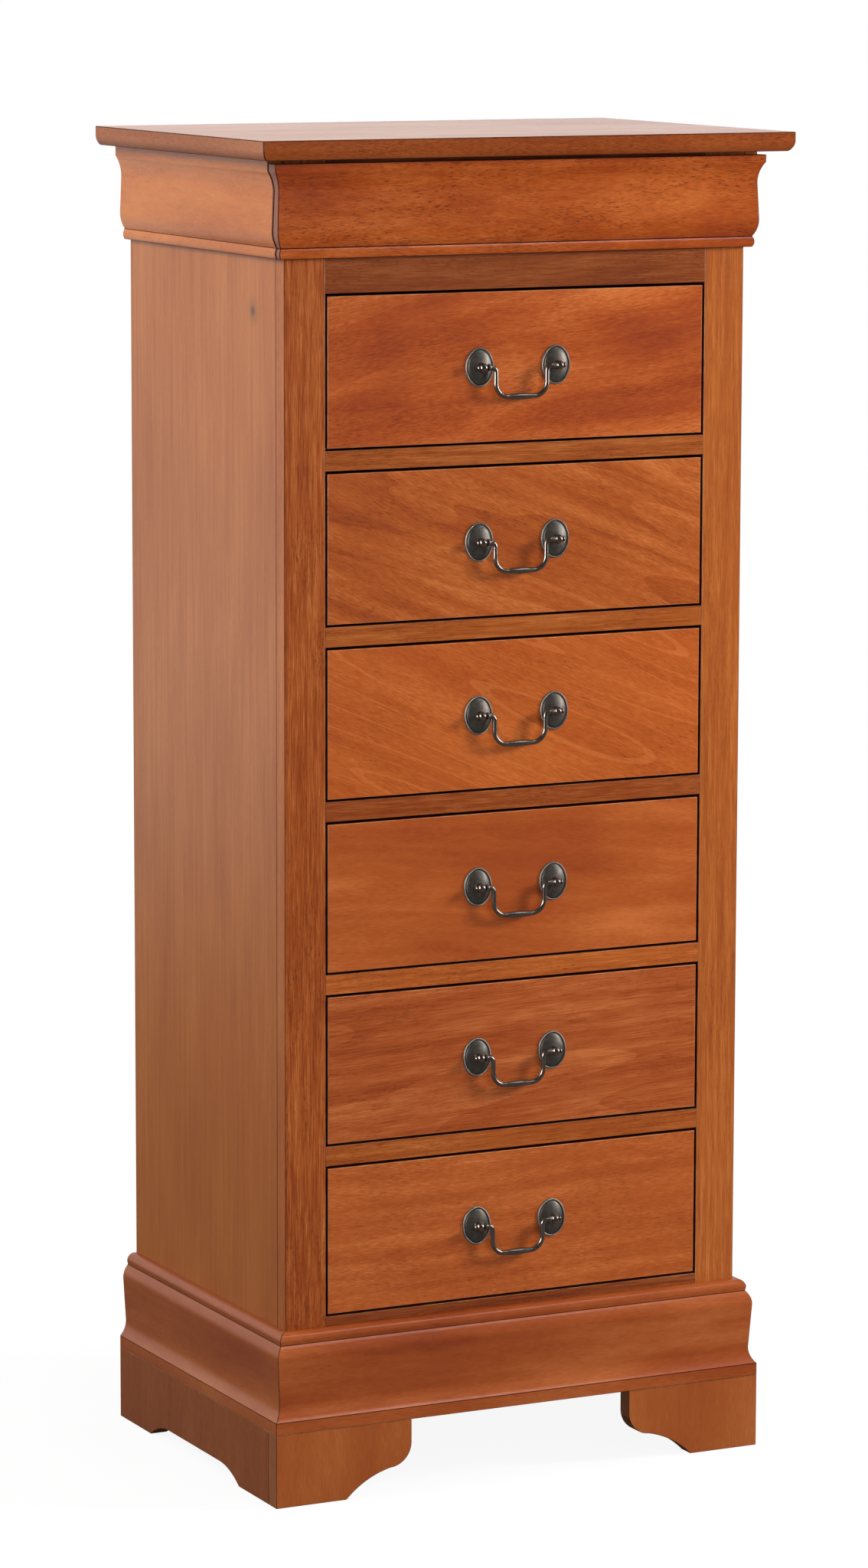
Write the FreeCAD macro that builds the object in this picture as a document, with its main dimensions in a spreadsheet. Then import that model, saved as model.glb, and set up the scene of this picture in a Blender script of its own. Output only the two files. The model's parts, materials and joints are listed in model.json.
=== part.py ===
import FreeCAD, Part
import math
import operator
import os
from types import SimpleNamespace

import Sketcher
from FreeCAD import Placement, Rotation, Vector

# Tall narrow chest of drawers: a face-framed case on a moulded base with bracket feet, six visible
# drawers with bail pulls, and one more drawer hidden behind the cornice under the top board.
# Frame: millimetres, +Z up, front towards -Y, origin on the floor under the middle of the top board.

DRAWER_COUNT = 6
TAILS_PER_CORNER = 3
TAILS_PER_LOW_CORNER = 2

SIZES = {
    # Case, from the floor up
    "foot_height": 71.3,
    "base_height": 96.2,
    "bottom_rail_reveal": 9.4,
    "opening_height": 146.6,
    "rail_height": 19.0,
    "top_rail_reveal": 33.0,
    "cornice_height": 88.5,
    "cornice_top_gap": 3.5,
    "top_thickness": 18.5,
    # Case, in plan
    "case_width": 487.0,
    "case_depth": 357.0,
    "top_side_overhang": 36.5,
    "top_front_overhang": 35.0,
    "top_edge_rise": 10.0,
    "top_edge_inset": 5.0,
    # Boards of the case
    "frame_thickness": 18.0,
    "stile_width": 42.2,
    "side_thickness": 18.0,
    "back_thickness": 5.0,
    "back_rebate": 9.0,
    "crown_rail_height": 14.5,
    "top_rail_overlap": 3.5,
    "bottom_rail_height": 40.0,
    # Cornice section, measured out from the case
    "cornice_bead_height": 10.2,
    "cornice_bead_bulge": 1.7,
    "cornice_quirk_depth": 6.2,
    "cornice_ovolo_height": 15.8,
    "cornice_belly_depth": 11.0,
    "cornice_face_height": 36.0,
    "cornice_waist_depth": 9.5,
    "cornice_cove_height": 19.5,
    "cornice_fillet_depth": 15.5,
    "cornice_end_setback": 1.7,
    # Base section, measured out from the case
    "base_fillet_depth": 18.3,
    "base_fillet_height": 12.0,
    "base_flare_height": 15.7,
    "base_waist_depth": 12.0,
    "base_face_height": 44.0,
    "base_shoulder_depth": 14.7,
    "base_shoulder_height": 13.0,
    "base_quirk_depth": 9.4,
    "base_bead_depth": 10.2,
    "base_bead_foot": 3.7,
    "base_bead_ledge": 2.3,
    # Feet, skirts and blocks
    "foot_thickness": 18.0,
    "foot_width": 143.3,
    "foot_toe_width": 74.0,
    "foot_shoulder_height": 49.0,
    "foot_knee_height": 26.0,
    "foot_knee_run": 22.0,
    "foot_toe_bulge": 4.0,
    "skirt_front_toe": 68.7,
    "skirt_rear_toe": 76.0,
    "skirt_arch_height": 14.0,
    "skirt_arch_run": 46.0,
    "apron_height": 36.0,
    "block_width": 40.0,
    "block_lift": 3.0,
    # Runners, guides and stops
    "runner_thickness": 19.0,
    "runner_ledge": 25.0,
    "guide_height": 40.0,
    "stop_height": 15.0,
    "stop_length": 12.0,
    "running_gap": 0.3,
    # Drawers
    "drawer_side_gap": 2.5,
    "drawer_top_gap": 2.6,
    "drawer_bottom_gap": 2.4,
    "drawer_rear_space": 17.0,
    "drawer_edge_radius": 0.8,
    "front_thickness": 20.0,
    "inner_front_thickness": 12.0,
    "drawer_board": 11.0,
    "side_top_clearance": 26.0,
    "low_side_top_clearance": 8.0,
    "bottom_thickness": 5.0,
    "bottom_lift": 10.0,
    "groove_depth": 5.5,
    "tail_lap": 6.0,
    "low_tail_lap": 4.0,
    "pin_width": 12.0,
    "tail_slope": 2.0,
    "glue_gap": 0.1,
    # Pulls
    "post_spacing": 81.0,
    "plate_width": 29.8,
    "plate_height": 37.4,
    "plate_rim_height": 2.0,
    "plate_rim_width": 2.6,
    "plate_dome_rise": 2.4,
    "post_neck_length": 0.9,
    "post_neck_radius": 3.1,
    "post_ball_radius": 4.25,
    "shank_radius": 2.4,
    "shank_end": 7.0,
    "nut_width": 8.0,
    "nut_thickness": 4.0,
    "bolt_clearance": 0.1,
    # Bails
    "bail_radius": 2.35,
    "bail_grip_radius": 3.2,
    "bail_swell_length": 27.0,
    "bail_crown_length": 9.0,
    "bail_leg_spacing": 54.2,
    "bail_drop": 28.1,
    "bail_shoulder_radius": 4.6,
    "bail_corner_radius": 13.0,
    "bail_collar_radius": 3.5,
    "bail_collar_width": 2.4,
    "bail_pin_radius": 1.7,
    "bail_pin_clearance": 0.05,
    "bail_head_radius": 2.7,
    "bail_head_height": 2.2,
}

doc = FreeCAD.newDocument("chest_of_drawers")
sheet = doc.addObject("Spreadsheet::Sheet", "sizes")
for row, (alias, number) in enumerate(SIZES.items(), start=1):
    sheet.set(f"A{row}", alias)
    sheet.set(f"B{row}", str(number))
    sheet.setAlias(f"B{row}", alias)
doc.recompute()


class Size:
    """A length with its number and the sheet expression that drives it."""

    def __init__(self, number, text):
        self.number = number
        self.text = text

    def __add__(self, other):
        return combined(self, "+", other)

    def __radd__(self, other):
        return combined(other, "+", self)

    def __sub__(self, other):
        return combined(self, "-", other)

    def __rsub__(self, other):
        return combined(other, "-", self)

    def __mul__(self, other):
        return combined(self, "*", other)

    def __rmul__(self, other):
        return combined(other, "*", self)

    def __truediv__(self, other):
        return combined(self, "/", other)

    def __neg__(self):
        return combined(0, "-", self)


OPERATIONS = {"+": operator.add, "-": operator.sub, "*": operator.mul, "/": operator.truediv}


def as_size(value):
    if isinstance(value, Size):
        return value
    return Size(float(value), f"{float(value):.6f}")


def combined(left, sign, right):
    left, right = as_size(left), as_size(right)
    return Size(OPERATIONS[sign](left.number, right.number), f"({left.text} {sign} {right.text})")


def root(value):
    value = as_size(value)
    return Size(math.sqrt(value.number), f"sqrt({value.text})")


def magnitude(value):
    return Size(abs(value.number), f"abs({value.text})")


def bind(thing, prop, value):
    """Drive one property of a document object from the sheet."""
    thing.setExpression(prop, as_size(value).text)


def seat(thing, x=0, y=0, z=0):
    for letter, value in zip("xyz", (x, y, z)):
        bind(thing, f"Placement.Base.{letter}", value)


S = SimpleNamespace(**{alias: Size(float(sheet.get(alias)), f"sizes.{alias}") for alias in SIZES})
nodes = {}
cuts = []


def add_node(name, thing):
    thing.Label = name
    nodes[name] = thing
    return thing


# Outlines: each point is (u, v) or (u, v, edge), where edge shapes the stretch to the next point

def upright_start(first, second):
    """Arc that leaves its first point vertically."""
    return upright_arc(first, second, first)


def upright_end(first, second):
    """Arc that reaches its second point vertically."""
    return upright_arc(first, second, second)


def upright_arc(first, second, plumb):
    across, up = second[0] - first[0], second[1] - first[1]
    radius = magnitude((across * across + up * up) / (2 * across))
    other = second if plumb is first else first
    reach = math.copysign(radius.number, other[0].number - plumb[0].number)
    return radius, Vector(plumb[0].number + reach, plumb[1].number, 0)


def level_start(first, second):
    """Arc that leaves its first point horizontally."""
    return level_arc(first, second, first)


def level_end(first, second):
    """Arc that reaches its second point horizontally."""
    return level_arc(first, second, second)


def level_arc(first, second, flat):
    across, up = second[0] - first[0], second[1] - first[1]
    radius = magnitude((across * across + up * up) / (2 * up))
    other = second if flat is first else first
    reach = math.copysign(radius.number, other[1].number - flat[1].number)
    return radius, Vector(flat[0].number, flat[1].number + reach, 0)


def bulged(rise, turn):
    """Arc that rises from its chord, to the left of travel for a turn of 1, to the right for -1."""
    def arc(first, second):
        across, up = second[0] - first[0], second[1] - first[1]
        span = across * across + up * up
        radius = span / (8 * rise) + rise / 2
        chord = math.sqrt(span.number)
        leftward = Vector(-up.number / chord, across.number / chord, 0) * turn
        middle = Vector((first[0].number + second[0].number) / 2, (first[1].number + second[1].number) / 2, 0)
        return radius, middle - leftward * (radius.number - rise.number)
    return arc


def around(centre):
    """Arc about a known centre."""
    def arc(first, second):
        across, up = first[0] - centre[0], first[1] - centre[1]
        return root(across * across + up * up), Vector(centre[0].number, centre[1].number, 0)
    return arc


def new_body(name):
    return doc.addObject("PartDesign::Body", name)


def new_sketch(body, name, plane, lift=None):
    """A sketch on one of the body's own planes, lifted along that plane's normal."""
    sketch = body.newObject("Sketcher::SketchObject", name)
    support = next(feature for feature in body.Origin.OriginFeatures if feature.Role == plane)
    sketch.AttachmentSupport = [(support, "")]
    sketch.MapMode = "FlatFace"
    if lift is not None:
        bind(sketch, "AttachmentOffset.Base.z", lift)
    return sketch


def draw(sketch, points, closed=True):
    """Draw one chain of lines and arcs, with every point and radius driven by the sheet."""
    corners = [tuple(as_size(value) for value in point[:2]) for point in points]
    edges = [point[2] if len(point) > 2 else None for point in points]
    count = len(corners) if closed else len(corners) - 1
    previous = None
    opening = None
    for index in range(count):
        first, second = corners[index], corners[(index + 1) % len(corners)]
        start = Vector(first[0].number, first[1].number, 0)
        end = Vector(second[0].number, second[1].number, 0)
        head, tail = 1, 2
        if edges[index] is None:
            line = sketch.addGeometry(Part.LineSegment(start, end))
        else:
            radius, centre = edges[index](first, second)
            if (start - centre).cross(end - centre).z < 0:
                head, tail = 2, 1
            low, high = (start, end) if head == 1 else (end, start)
            from_angle, to_angle = (math.atan2(spot.y - centre.y, spot.x - centre.x) for spot in (low, high))
            if to_angle < from_angle:
                to_angle += 2 * math.pi
            circle = Part.Circle(centre, Vector(0, 0, 1), radius.number)
            line = sketch.addGeometry(Part.ArcOfCircle(circle, from_angle, to_angle))
            hold(sketch, Sketcher.Constraint("Radius", line, radius.number), radius)
        hold(sketch, Sketcher.Constraint("DistanceX", -1, 1, line, head, first[0].number), first[0])
        hold(sketch, Sketcher.Constraint("DistanceY", -1, 1, line, head, first[1].number), first[1])
        if previous is not None:
            sketch.addConstraint(Sketcher.Constraint("Coincident", *previous, line, head))
        else:
            opening = (line, head)
        previous = (line, tail)
    if closed:
        sketch.addConstraint(Sketcher.Constraint("Coincident", *previous, *opening))
    else:
        last = corners[-1]
        hold(sketch, Sketcher.Constraint("DistanceX", -1, 1, *previous, last[0].number), last[0])
        hold(sketch, Sketcher.Constraint("DistanceY", -1, 1, *previous, last[1].number), last[1])
    return sketch


def hold(sketch, constraint, value):
    index = sketch.addConstraint(constraint)
    sketch.setExpression(f"Constraints[{index}]", value.text)


# Features and plain boards

def pad(body, sketch, length, side="One side", backward=False):
    feature = body.newObject("PartDesign::Pad", f"{body.Name}_pad")
    feature.Profile = sketch
    bind(feature, "Length", length)
    feature.SideType = side
    feature.Reversed = backward
    return feature


def cut_through(body, sketch):
    """Cut the outline out of the body, all the way both ways."""
    before = body.Tip
    feature = body.newObject("PartDesign::Pocket", f"{body.Name}_pocket")
    feature.Profile = sketch
    feature.Type = "ThroughAll"
    feature.SideType = "Symmetric"
    cuts.append((before, feature))
    return feature


def revolve(body, sketch, axis):
    feature = body.newObject("PartDesign::Revolution", f"{body.Name}_turning")
    feature.Profile = sketch
    feature.ReferenceAxis = (sketch, [axis])
    feature.Angle = 360
    return feature


def board(name, low, high):
    """A plain board between two opposite corners."""
    box = doc.addObject("Part::Box", name)
    for prop, letter, start, end in zip(("Length", "Width", "Height"), "xyz", low, high):
        bind(box, prop, as_size(end) - start)
        bind(box, f"Placement.Base.{letter}", start)
    return box


def rod(name, start, length, radius, turn):
    """A plain cylinder from a point, turned from upright."""
    cylinder = doc.addObject("Part::Cylinder", name)
    bind(cylinder, "Radius", radius)
    bind(cylinder, "Height", length)
    cylinder.Placement = Placement(Vector(), turn)
    seat(cylinder, *start)
    return cylinder


def cut(name, base, tool):
    result = doc.addObject("Part::Cut", name)
    result.Base = base
    result.Tool = tool
    cuts.append((base, result))
    return result


def joined(name, pieces):
    result = doc.addObject("Part::MultiFuse", name)
    result.Shapes = pieces
    return result


def group(name, pieces):
    """Several separate solids kept together under one name."""
    result = doc.addObject("Part::Compound", name)
    result.Links = pieces
    return result


ALONG_X = Rotation(Vector(0, 1, 0), 90)
ALONG_Y = Rotation(Vector(1, 0, 0), -90)
TO_FRONT = Rotation(Vector(1, 0, 0), 90)
SIDES = {"left": -1, "right": 1}

# Main planes of the chest

half_case = S.case_width / 2
face = (S.top_front_overhang - S.case_depth) / 2
back = face + S.case_depth
half_opening = half_case - S.stile_width
inner_half = half_case - S.side_thickness
base_top = S.foot_height + S.base_height
lowest_opening = base_top + S.bottom_rail_reveal
pitch = S.opening_height + S.rail_height
highest_opening_top = lowest_opening + DRAWER_COUNT * S.opening_height + (DRAWER_COUNT - 1) * S.rail_height
cornice_bottom = highest_opening_top + S.top_rail_reveal
cornice_opening = cornice_bottom + S.top_rail_overlap
top_underside = cornice_bottom + S.cornice_height + S.cornice_top_gap
cornice_opening_top = top_underside - S.crown_rail_height
drawer_half = half_opening - S.drawer_side_gap
drawer_rear = face + S.case_depth - S.back_thickness - S.drawer_rear_space


def opening_bottom(number):
    """Lower edge of a drawer opening, counted from 1 at the top."""
    return lowest_opening + (DRAWER_COUNT - number) * pitch


# Top board: square above, its lower edge rounded under at the front and both sides

def make_top():
    half = half_case + S.top_side_overhang
    depth = S.case_depth + S.top_front_overhang
    top = top_underside + S.top_thickness
    spring = top_underside + S.top_edge_rise
    body = new_body("top_panel")
    outline = new_sketch(body, "top_front_view", "XZ_Plane")
    draw(outline, [
        (half - S.top_edge_inset, top_underside, upright_end),
        (half, spring),
        (half, top),
        (-half, top),
        (-half, spring, upright_start),
        (-(half - S.top_edge_inset), top_underside),
    ])
    pad(body, outline, depth, backward=True)
    waste = new_sketch(body, "top_front_edge", "YZ_Plane")
    draw(waste, [
        (S.top_edge_inset, top_underside, upright_end),
        (as_size(0), spring),
        (as_size(0), top_underside),
    ])
    cut_through(body, waste)
    seat(body, y=face - S.top_front_overhang)
    add_node("top_panel", body)


# Case sides, back and face frame

def make_case():
    for name, side in SIDES.items():
        outer, inner = side * half_case, side * inner_half
        low, high = (outer, inner) if side < 0 else (inner, outer)
        rebate = side * (half_case - S.back_rebate)
        rebate_low, rebate_high = (rebate, inner) if side < 0 else (inner, rebate)
        blank = board(f"side_blank_{name}", (low, face + S.frame_thickness, S.foot_height),
                      (high, back, top_underside))
        rebate_waste = board(f"side_rebate_{name}", (rebate_low, back - S.back_thickness, S.foot_height),
                             (rebate_high, back, top_underside))
        add_node(f"side_panel_{name}", cut(f"side_panel_{name}", blank, rebate_waste))
        edge = side * half_opening
        low, high = (outer, edge) if side < 0 else (edge, outer)
        add_node(f"stile_{name}", board(f"stile_{name}", (low, face, S.foot_height),
                                        (high, face + S.frame_thickness, top_underside)))
    back_half = half_case - S.back_rebate
    add_node("back_panel", board("back_panel", (-back_half, back - S.back_thickness, S.foot_height),
                                 (back_half, back, top_underside)))
    make_rail("crown_rail", cornice_opening_top, top_underside)
    make_rail("top_rail", highest_opening_top, cornice_opening)
    for number in range(1, DRAWER_COUNT):
        upper = opening_bottom(number)
        make_rail(f"divider_rail_{number}", upper - S.rail_height, upper)
    make_rail("bottom_rail", lowest_opening - S.bottom_rail_height, lowest_opening)


def make_rail(name, low, high):
    add_node(name, board(name, (-half_opening, face, low), (half_opening, face + S.frame_thickness, high)))


# Cornice: bead, ovolo, gently hollow face, cove and square fillet, all worked out from the case

def cornice_section(top):
    bead_top = cornice_bottom + S.cornice_bead_height
    belly = bead_top + S.cornice_ovolo_height
    waist = belly + S.cornice_face_height
    fillet = waist + S.cornice_cove_height
    return [
        (S.cornice_quirk_depth, cornice_bottom, "bead"),
        (S.cornice_quirk_depth, bead_top, upright_end),
        (S.cornice_belly_depth, belly, None),
        (S.cornice_waist_depth, waist, upright_start),
        (S.cornice_fillet_depth, fillet, None),
        (S.cornice_fillet_depth, top, None),
    ]


def section_points(section, place, bead_turn):
    """Put a moulding section into a sketch; place turns a depth into the sketch's own u."""
    points = []
    for depth, level, edge in section:
        if edge == "bead":
            edge = bulged(S.cornice_bead_bulge, bead_turn)
        points.append((place(depth), level, edge))
    return points


def reversed_points(points):
    """The same chain, walked from its other end."""
    swaps = {upright_start: upright_end, upright_end: upright_start}
    edges = [point[2] for point in points]
    backward = []
    for index in range(len(points) - 1, -1, -1):
        edge = edges[index - 1] if index else None
        backward.append((points[index][0], points[index][1], swaps.get(edge, edge)))
    return backward


def make_cornice_sides():
    section = cornice_section(top_underside)
    for name, side in SIDES.items():
        body = new_body(f"cornice_{name}")
        outline = new_sketch(body, f"cornice_section_{name}", "XZ_Plane")
        points = section_points(section, lambda depth: side * (half_case + depth), -side)
        draw(outline, points + [(side * half_case, top_underside), (side * half_case, cornice_bottom)])
        pad(body, outline, S.case_depth - S.cornice_end_setback, backward=True)
        seat(body, y=face + S.cornice_end_setback)
        add_node(f"cornice_{name}", body)


def make_cornice_front():
    """Front of the hidden drawer, with the section returned round both ends."""
    top = cornice_bottom + S.cornice_height
    section = cornice_section(top)
    right = section_points(section, lambda depth: half_case + depth, -1)
    left = reversed_points(section_points(section, lambda depth: -(half_case + depth), -1))
    body = new_body("cornice_drawer_front")
    outline = new_sketch(body, "cornice_front_view", "XZ_Plane", lift=S.running_gap)
    draw(outline, right + left)
    pad(body, outline, S.cornice_fillet_depth - S.running_gap)
    waste = new_sketch(body, "cornice_front_waste", "YZ_Plane")
    worked = section_points(section[:-1], lambda depth: -depth, 1)
    draw(waste, worked + [(-S.cornice_fillet_depth, cornice_bottom)])
    cut_through(body, waste)
    seat(body, y=face)
    add_node("cornice_drawer_front", body)


# Base: fillet, flare, sloping face, shoulder and bead, mitred at the front corners

def base_section():
    fillet = S.foot_height + S.base_fillet_height
    waist = fillet + S.base_flare_height
    shoulder = waist + S.base_face_height
    quirk = shoulder + S.base_shoulder_height
    return [
        (S.base_fillet_depth, S.foot_height, None),
        (S.base_fillet_depth, fillet, upright_end),
        (S.base_waist_depth, waist, None),
        (S.base_shoulder_depth, shoulder, upright_start),
        (S.base_quirk_depth, quirk, None),
        (S.base_bead_depth, quirk + S.base_bead_foot, upright_start),
        (S.base_bead_ledge, base_top, None),
    ]


def make_base_mouldings():
    reach = 2 * S.base_fillet_depth
    body = new_body("base_moulding_front")
    outline = new_sketch(body, "base_section_front", "YZ_Plane")
    points = section_points(base_section(), lambda depth: -depth, 1)
    draw(outline, points + [(as_size(0), base_top), (as_size(0), S.foot_height)])
    pad(body, outline, 2 * (half_case + S.base_fillet_depth), side="Symmetric")
    mitre = new_sketch(body, "base_mitre_front", "XY_Plane")
    for side in SIDES.values():
        draw(mitre, [
            (side * half_case, as_size(0)),
            (side * (half_case + reach), -reach),
            (side * (half_case + reach), as_size(0)),
        ])
    cut_through(body, mitre)
    seat(body, y=face)
    add_node("base_moulding_front", body)
    for name, side in SIDES.items():
        body = new_body(f"base_moulding_{name}")
        outline = new_sketch(body, f"base_section_{name}", "XZ_Plane", lift=S.base_fillet_depth)
        points = section_points(base_section(), lambda depth: side * (half_case + depth), -side)
        draw(outline, points + [(side * half_case, base_top), (side * half_case, S.foot_height)])
        pad(body, outline, S.case_depth + S.base_fillet_depth, backward=True)
        mitre = new_sketch(body, f"base_mitre_{name}", "XY_Plane")
        draw(mitre, [
            (side * half_case, as_size(0)),
            (side * (half_case + reach), -reach),
            (side * half_case, -reach),
        ])
        cut_through(body, mitre)
        seat(body, y=face)
        add_node(f"base_moulding_{name}", body)


# Bracket feet at the front, skirts with two feet at the sides, apron and glue blocks behind

def make_feet():
    outer = half_case + S.base_fillet_depth
    inner_face = outer - S.foot_thickness
    for name, side in SIDES.items():
        heel = outer - S.foot_width
        body = new_body(f"foot_bracket_{name}")
        outline = new_sketch(body, f"foot_outline_{name}", "XZ_Plane", lift=S.base_fillet_depth)
        draw(outline, [
            (side * outer, as_size(0)),
            (side * outer, S.foot_height),
            (side * heel, S.foot_height),
            (side * heel, S.foot_shoulder_height, upright_start),
            (side * (heel + S.foot_knee_run), S.foot_knee_height, bulged(S.foot_toe_bulge, side)),
            (side * (outer - S.foot_toe_width), as_size(0)),
        ])
        pad(body, outline, S.foot_thickness, backward=True)
        seat(body, y=face)
        add_node(f"foot_bracket_{name}", body)

        body = new_body(f"side_skirt_{name}")
        outline = new_sketch(body, f"skirt_outline_{name}", "YZ_Plane", lift=side * inner_face)
        front_end = S.foot_thickness - S.base_fillet_depth
        rear_toe = S.case_depth - S.skirt_rear_toe
        draw(outline, [
            (front_end, as_size(0)),
            (S.skirt_front_toe, as_size(0), level_end),
            (S.skirt_front_toe + S.skirt_arch_run, S.skirt_arch_height),
            (rear_toe - S.skirt_arch_run, S.skirt_arch_height, level_start),
            (rear_toe, as_size(0)),
            (S.case_depth, as_size(0)),
            (S.case_depth, S.foot_height),
            (front_end, S.foot_height),
        ])
        pad(body, outline, S.foot_thickness, backward=side < 0)
        seat(body, y=face)
        add_node(f"side_skirt_{name}", body)

    apron_front = back - S.foot_thickness
    add_node("back_apron", board("back_apron", (-inner_face, apron_front, S.foot_height - S.apron_height),
                                 (inner_face, back, S.foot_height)))
    front_start = face + S.foot_thickness - S.base_fillet_depth
    blocks = []
    for name, side in SIDES.items():
        near, far = side * inner_face, side * (inner_face - S.block_width)
        low, high = (near, far) if side < 0 else (far, near)
        for end, start in (("front", front_start), ("rear", apron_front - S.block_width)):
            blocks.append(board(f"corner_block_{end}_{name}", (low, start, S.block_lift),
                                (high, start + S.block_width, S.foot_height)))
    add_node("corner_blocks", group("corner_blocks", blocks))


# Runners carry the drawer sides, guides keep them straight, stop blocks end their travel

def make_runners():
    levels = [cornice_opening] + [opening_bottom(number) for number in range(1, DRAWER_COUNT + 1)]
    rail_back = face + S.frame_thickness
    panel_front = back - S.back_thickness
    stop_start = drawer_rear + S.running_gap
    runners, guides = [], []
    for tier, level in enumerate(levels):
        for name, side in SIDES.items():
            wall, guide_face = side * inner_half, side * half_opening
            tip = side * (half_opening - S.runner_ledge)
            low, high = (wall, tip) if side < 0 else (tip, wall)
            runners.append(board(f"runner_{tier}_{name}", (low, rail_back, level - S.runner_thickness),
                                 (high, panel_front, level)))
            low, high = (guide_face, tip) if side < 0 else (tip, guide_face)
            runners.append(board(f"stop_{tier}_{name}", (low, stop_start, level),
                                 (high, stop_start + S.stop_length, level + S.stop_height)))
            low, high = (wall, guide_face) if side < 0 else (guide_face, wall)
            guides.append(board(f"guide_{tier}_{name}", (low, rail_back, level),
                                (high, panel_front, level + S.guide_height)))
    add_node("drawer_runners", group("drawer_runners", runners))
    add_node("side_guides", group("side_guides", guides))


# Drawer boxes: dovetailed into their fronts, with a thin bottom in grooves

def tail(name, across, tip, root_line, up, ease):
    """One dovetail, wide at its tip; ease makes it the socket that takes it."""
    wedge = doc.addObject("Part::Wedge", name)
    bind(wedge, "Xmin", across[0] - ease)
    bind(wedge, "Xmax", across[1] + ease)
    bind(wedge, "X2min", across[0] - ease)
    bind(wedge, "X2max", across[1] + ease)
    bind(wedge, "Ymin", tip - ease)
    bind(wedge, "Ymax", root_line + ease)
    bind(wedge, "Zmin", up[0] - ease)
    bind(wedge, "Zmax", up[1] + ease)
    bind(wedge, "Z2min", up[0] + S.tail_slope - ease)
    bind(wedge, "Z2max", up[1] - S.tail_slope + ease)
    return wedge


def tail_spots(low, high, count):
    """Heights of the tails on one corner, with half a pin at each end."""
    step = (high - low) / count
    for index in range(count):
        yield low + index * step + S.pin_width / 2, low + (index + 1) * step - S.pin_width / 2


def side_board(label, side, low, high, front_face, joint, lap, tail_count):
    outer, inner = side * drawer_half, side * (drawer_half - S.drawer_board)
    across = (outer, inner) if side < 0 else (inner, outer)
    pieces = [board(f"{label}_blank", (across[0], joint, low), (across[1], drawer_rear, high))]
    for index, up in enumerate(tail_spots(low, high, tail_count)):
        pieces.append(tail(f"{label}_tail_{index}", across, front_face + lap, joint, up, as_size(0)))
    groove_end = side * (drawer_half - S.drawer_board + S.groove_depth + S.glue_gap)
    groove = (groove_end, inner) if side < 0 else (inner, groove_end)
    floor = low + S.bottom_lift
    groove_start = joint - S.groove_depth - S.glue_gap
    waste = board(f"{label}_groove", (groove[0], groove_start, floor - S.glue_gap),
                  (groove[1], drawer_rear, floor + S.bottom_thickness + S.glue_gap))
    return cut(label, joined(f"{label}_tailed", pieces), waste)


def sockets(label, low, high, front_face, joint, lap, tail_count):
    """Waste for the dovetail sockets at both ends of a drawer front, and for its groove."""
    waste = []
    for name, side in SIDES.items():
        outer, inner = side * drawer_half, side * (drawer_half - S.drawer_board)
        across = (outer, inner) if side < 0 else (inner, outer)
        for index, up in enumerate(tail_spots(low, high, tail_count)):
            waste.append(tail(f"{label}_socket_{name}_{index}", across, front_face + lap, joint, up, S.glue_gap))
    half_groove = drawer_half - S.drawer_board + S.groove_depth + S.glue_gap
    floor = low + S.bottom_lift
    waste.append(board(f"{label}_groove", (-half_groove, joint - S.groove_depth - S.glue_gap, floor - S.glue_gap),
                       (half_groove, joint, floor + S.bottom_thickness + S.glue_gap)))
    return waste


def drawer_back(label, low, high):
    half = drawer_half - S.drawer_board
    floor = low + S.bottom_lift + S.bottom_thickness + S.glue_gap
    return board(label, (-half, drawer_rear - S.drawer_board, floor), (half, drawer_rear, high))


def drawer_bottom(label, low, joint):
    half = drawer_half - S.drawer_board + S.groove_depth
    floor = low + S.bottom_lift
    return board(label, (-half, joint - S.groove_depth, floor), (half, drawer_rear, floor + S.bottom_thickness))


def make_drawer(number):
    label = f"drawer_{number}"
    opening = opening_bottom(number)
    low = opening + S.running_gap
    high = opening + S.opening_height - S.side_top_clearance
    joint = face + S.front_thickness
    front_low = opening + S.drawer_bottom_gap
    front_high = opening + S.opening_height - S.drawer_top_gap
    middle = (front_low + front_high) / 2

    body = new_body(f"{label}_front_board")
    outline = new_sketch(body, f"{label}_front_outline", "XZ_Plane")
    draw(outline, [(-drawer_half, front_low), (drawer_half, front_low),
                   (drawer_half, front_high), (-drawer_half, front_high)])
    slab = pad(body, outline, S.front_thickness, backward=True)
    doc.recompute()
    shown_edges = [f"Edge{index}" for index, edge in enumerate(slab.Shape.Edges, start=1)
                   if edge.BoundBox.YMax < S.front_thickness.number / 2]
    easing = body.newObject("PartDesign::Fillet", f"{label}_eased_edges")
    easing.Base = (slab, shown_edges)
    bind(easing, "Radius", S.drawer_edge_radius)
    seat(body, y=face)

    waste = sockets(label, low, high, face, joint, S.tail_lap, TAILS_PER_CORNER)
    for name, side in SIDES.items():
        waste.append(rod(f"{label}_bolt_hole_{name}", (side * S.post_spacing / 2, face, middle),
                         S.front_thickness, S.shank_radius + S.bolt_clearance, ALONG_Y))
    add_node(f"{label}_front", cut(f"{label}_front", body, group(f"{label}_front_waste", waste)))

    sides = [side_board(f"{label}_side_{name}", side, low, high, face, joint, S.tail_lap, TAILS_PER_CORNER)
             for name, side in SIDES.items()]
    add_node(f"{label}_box", group(f"{label}_box", sides + [drawer_back(f"{label}_back", low, high)]))
    add_node(f"{label}_bottom", drawer_bottom(f"{label}_bottom", low, joint))
    add_node(f"{label}_pull", make_pull(label, middle))
    add_node(f"{label}_bail", make_bail(label, middle))


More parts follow.
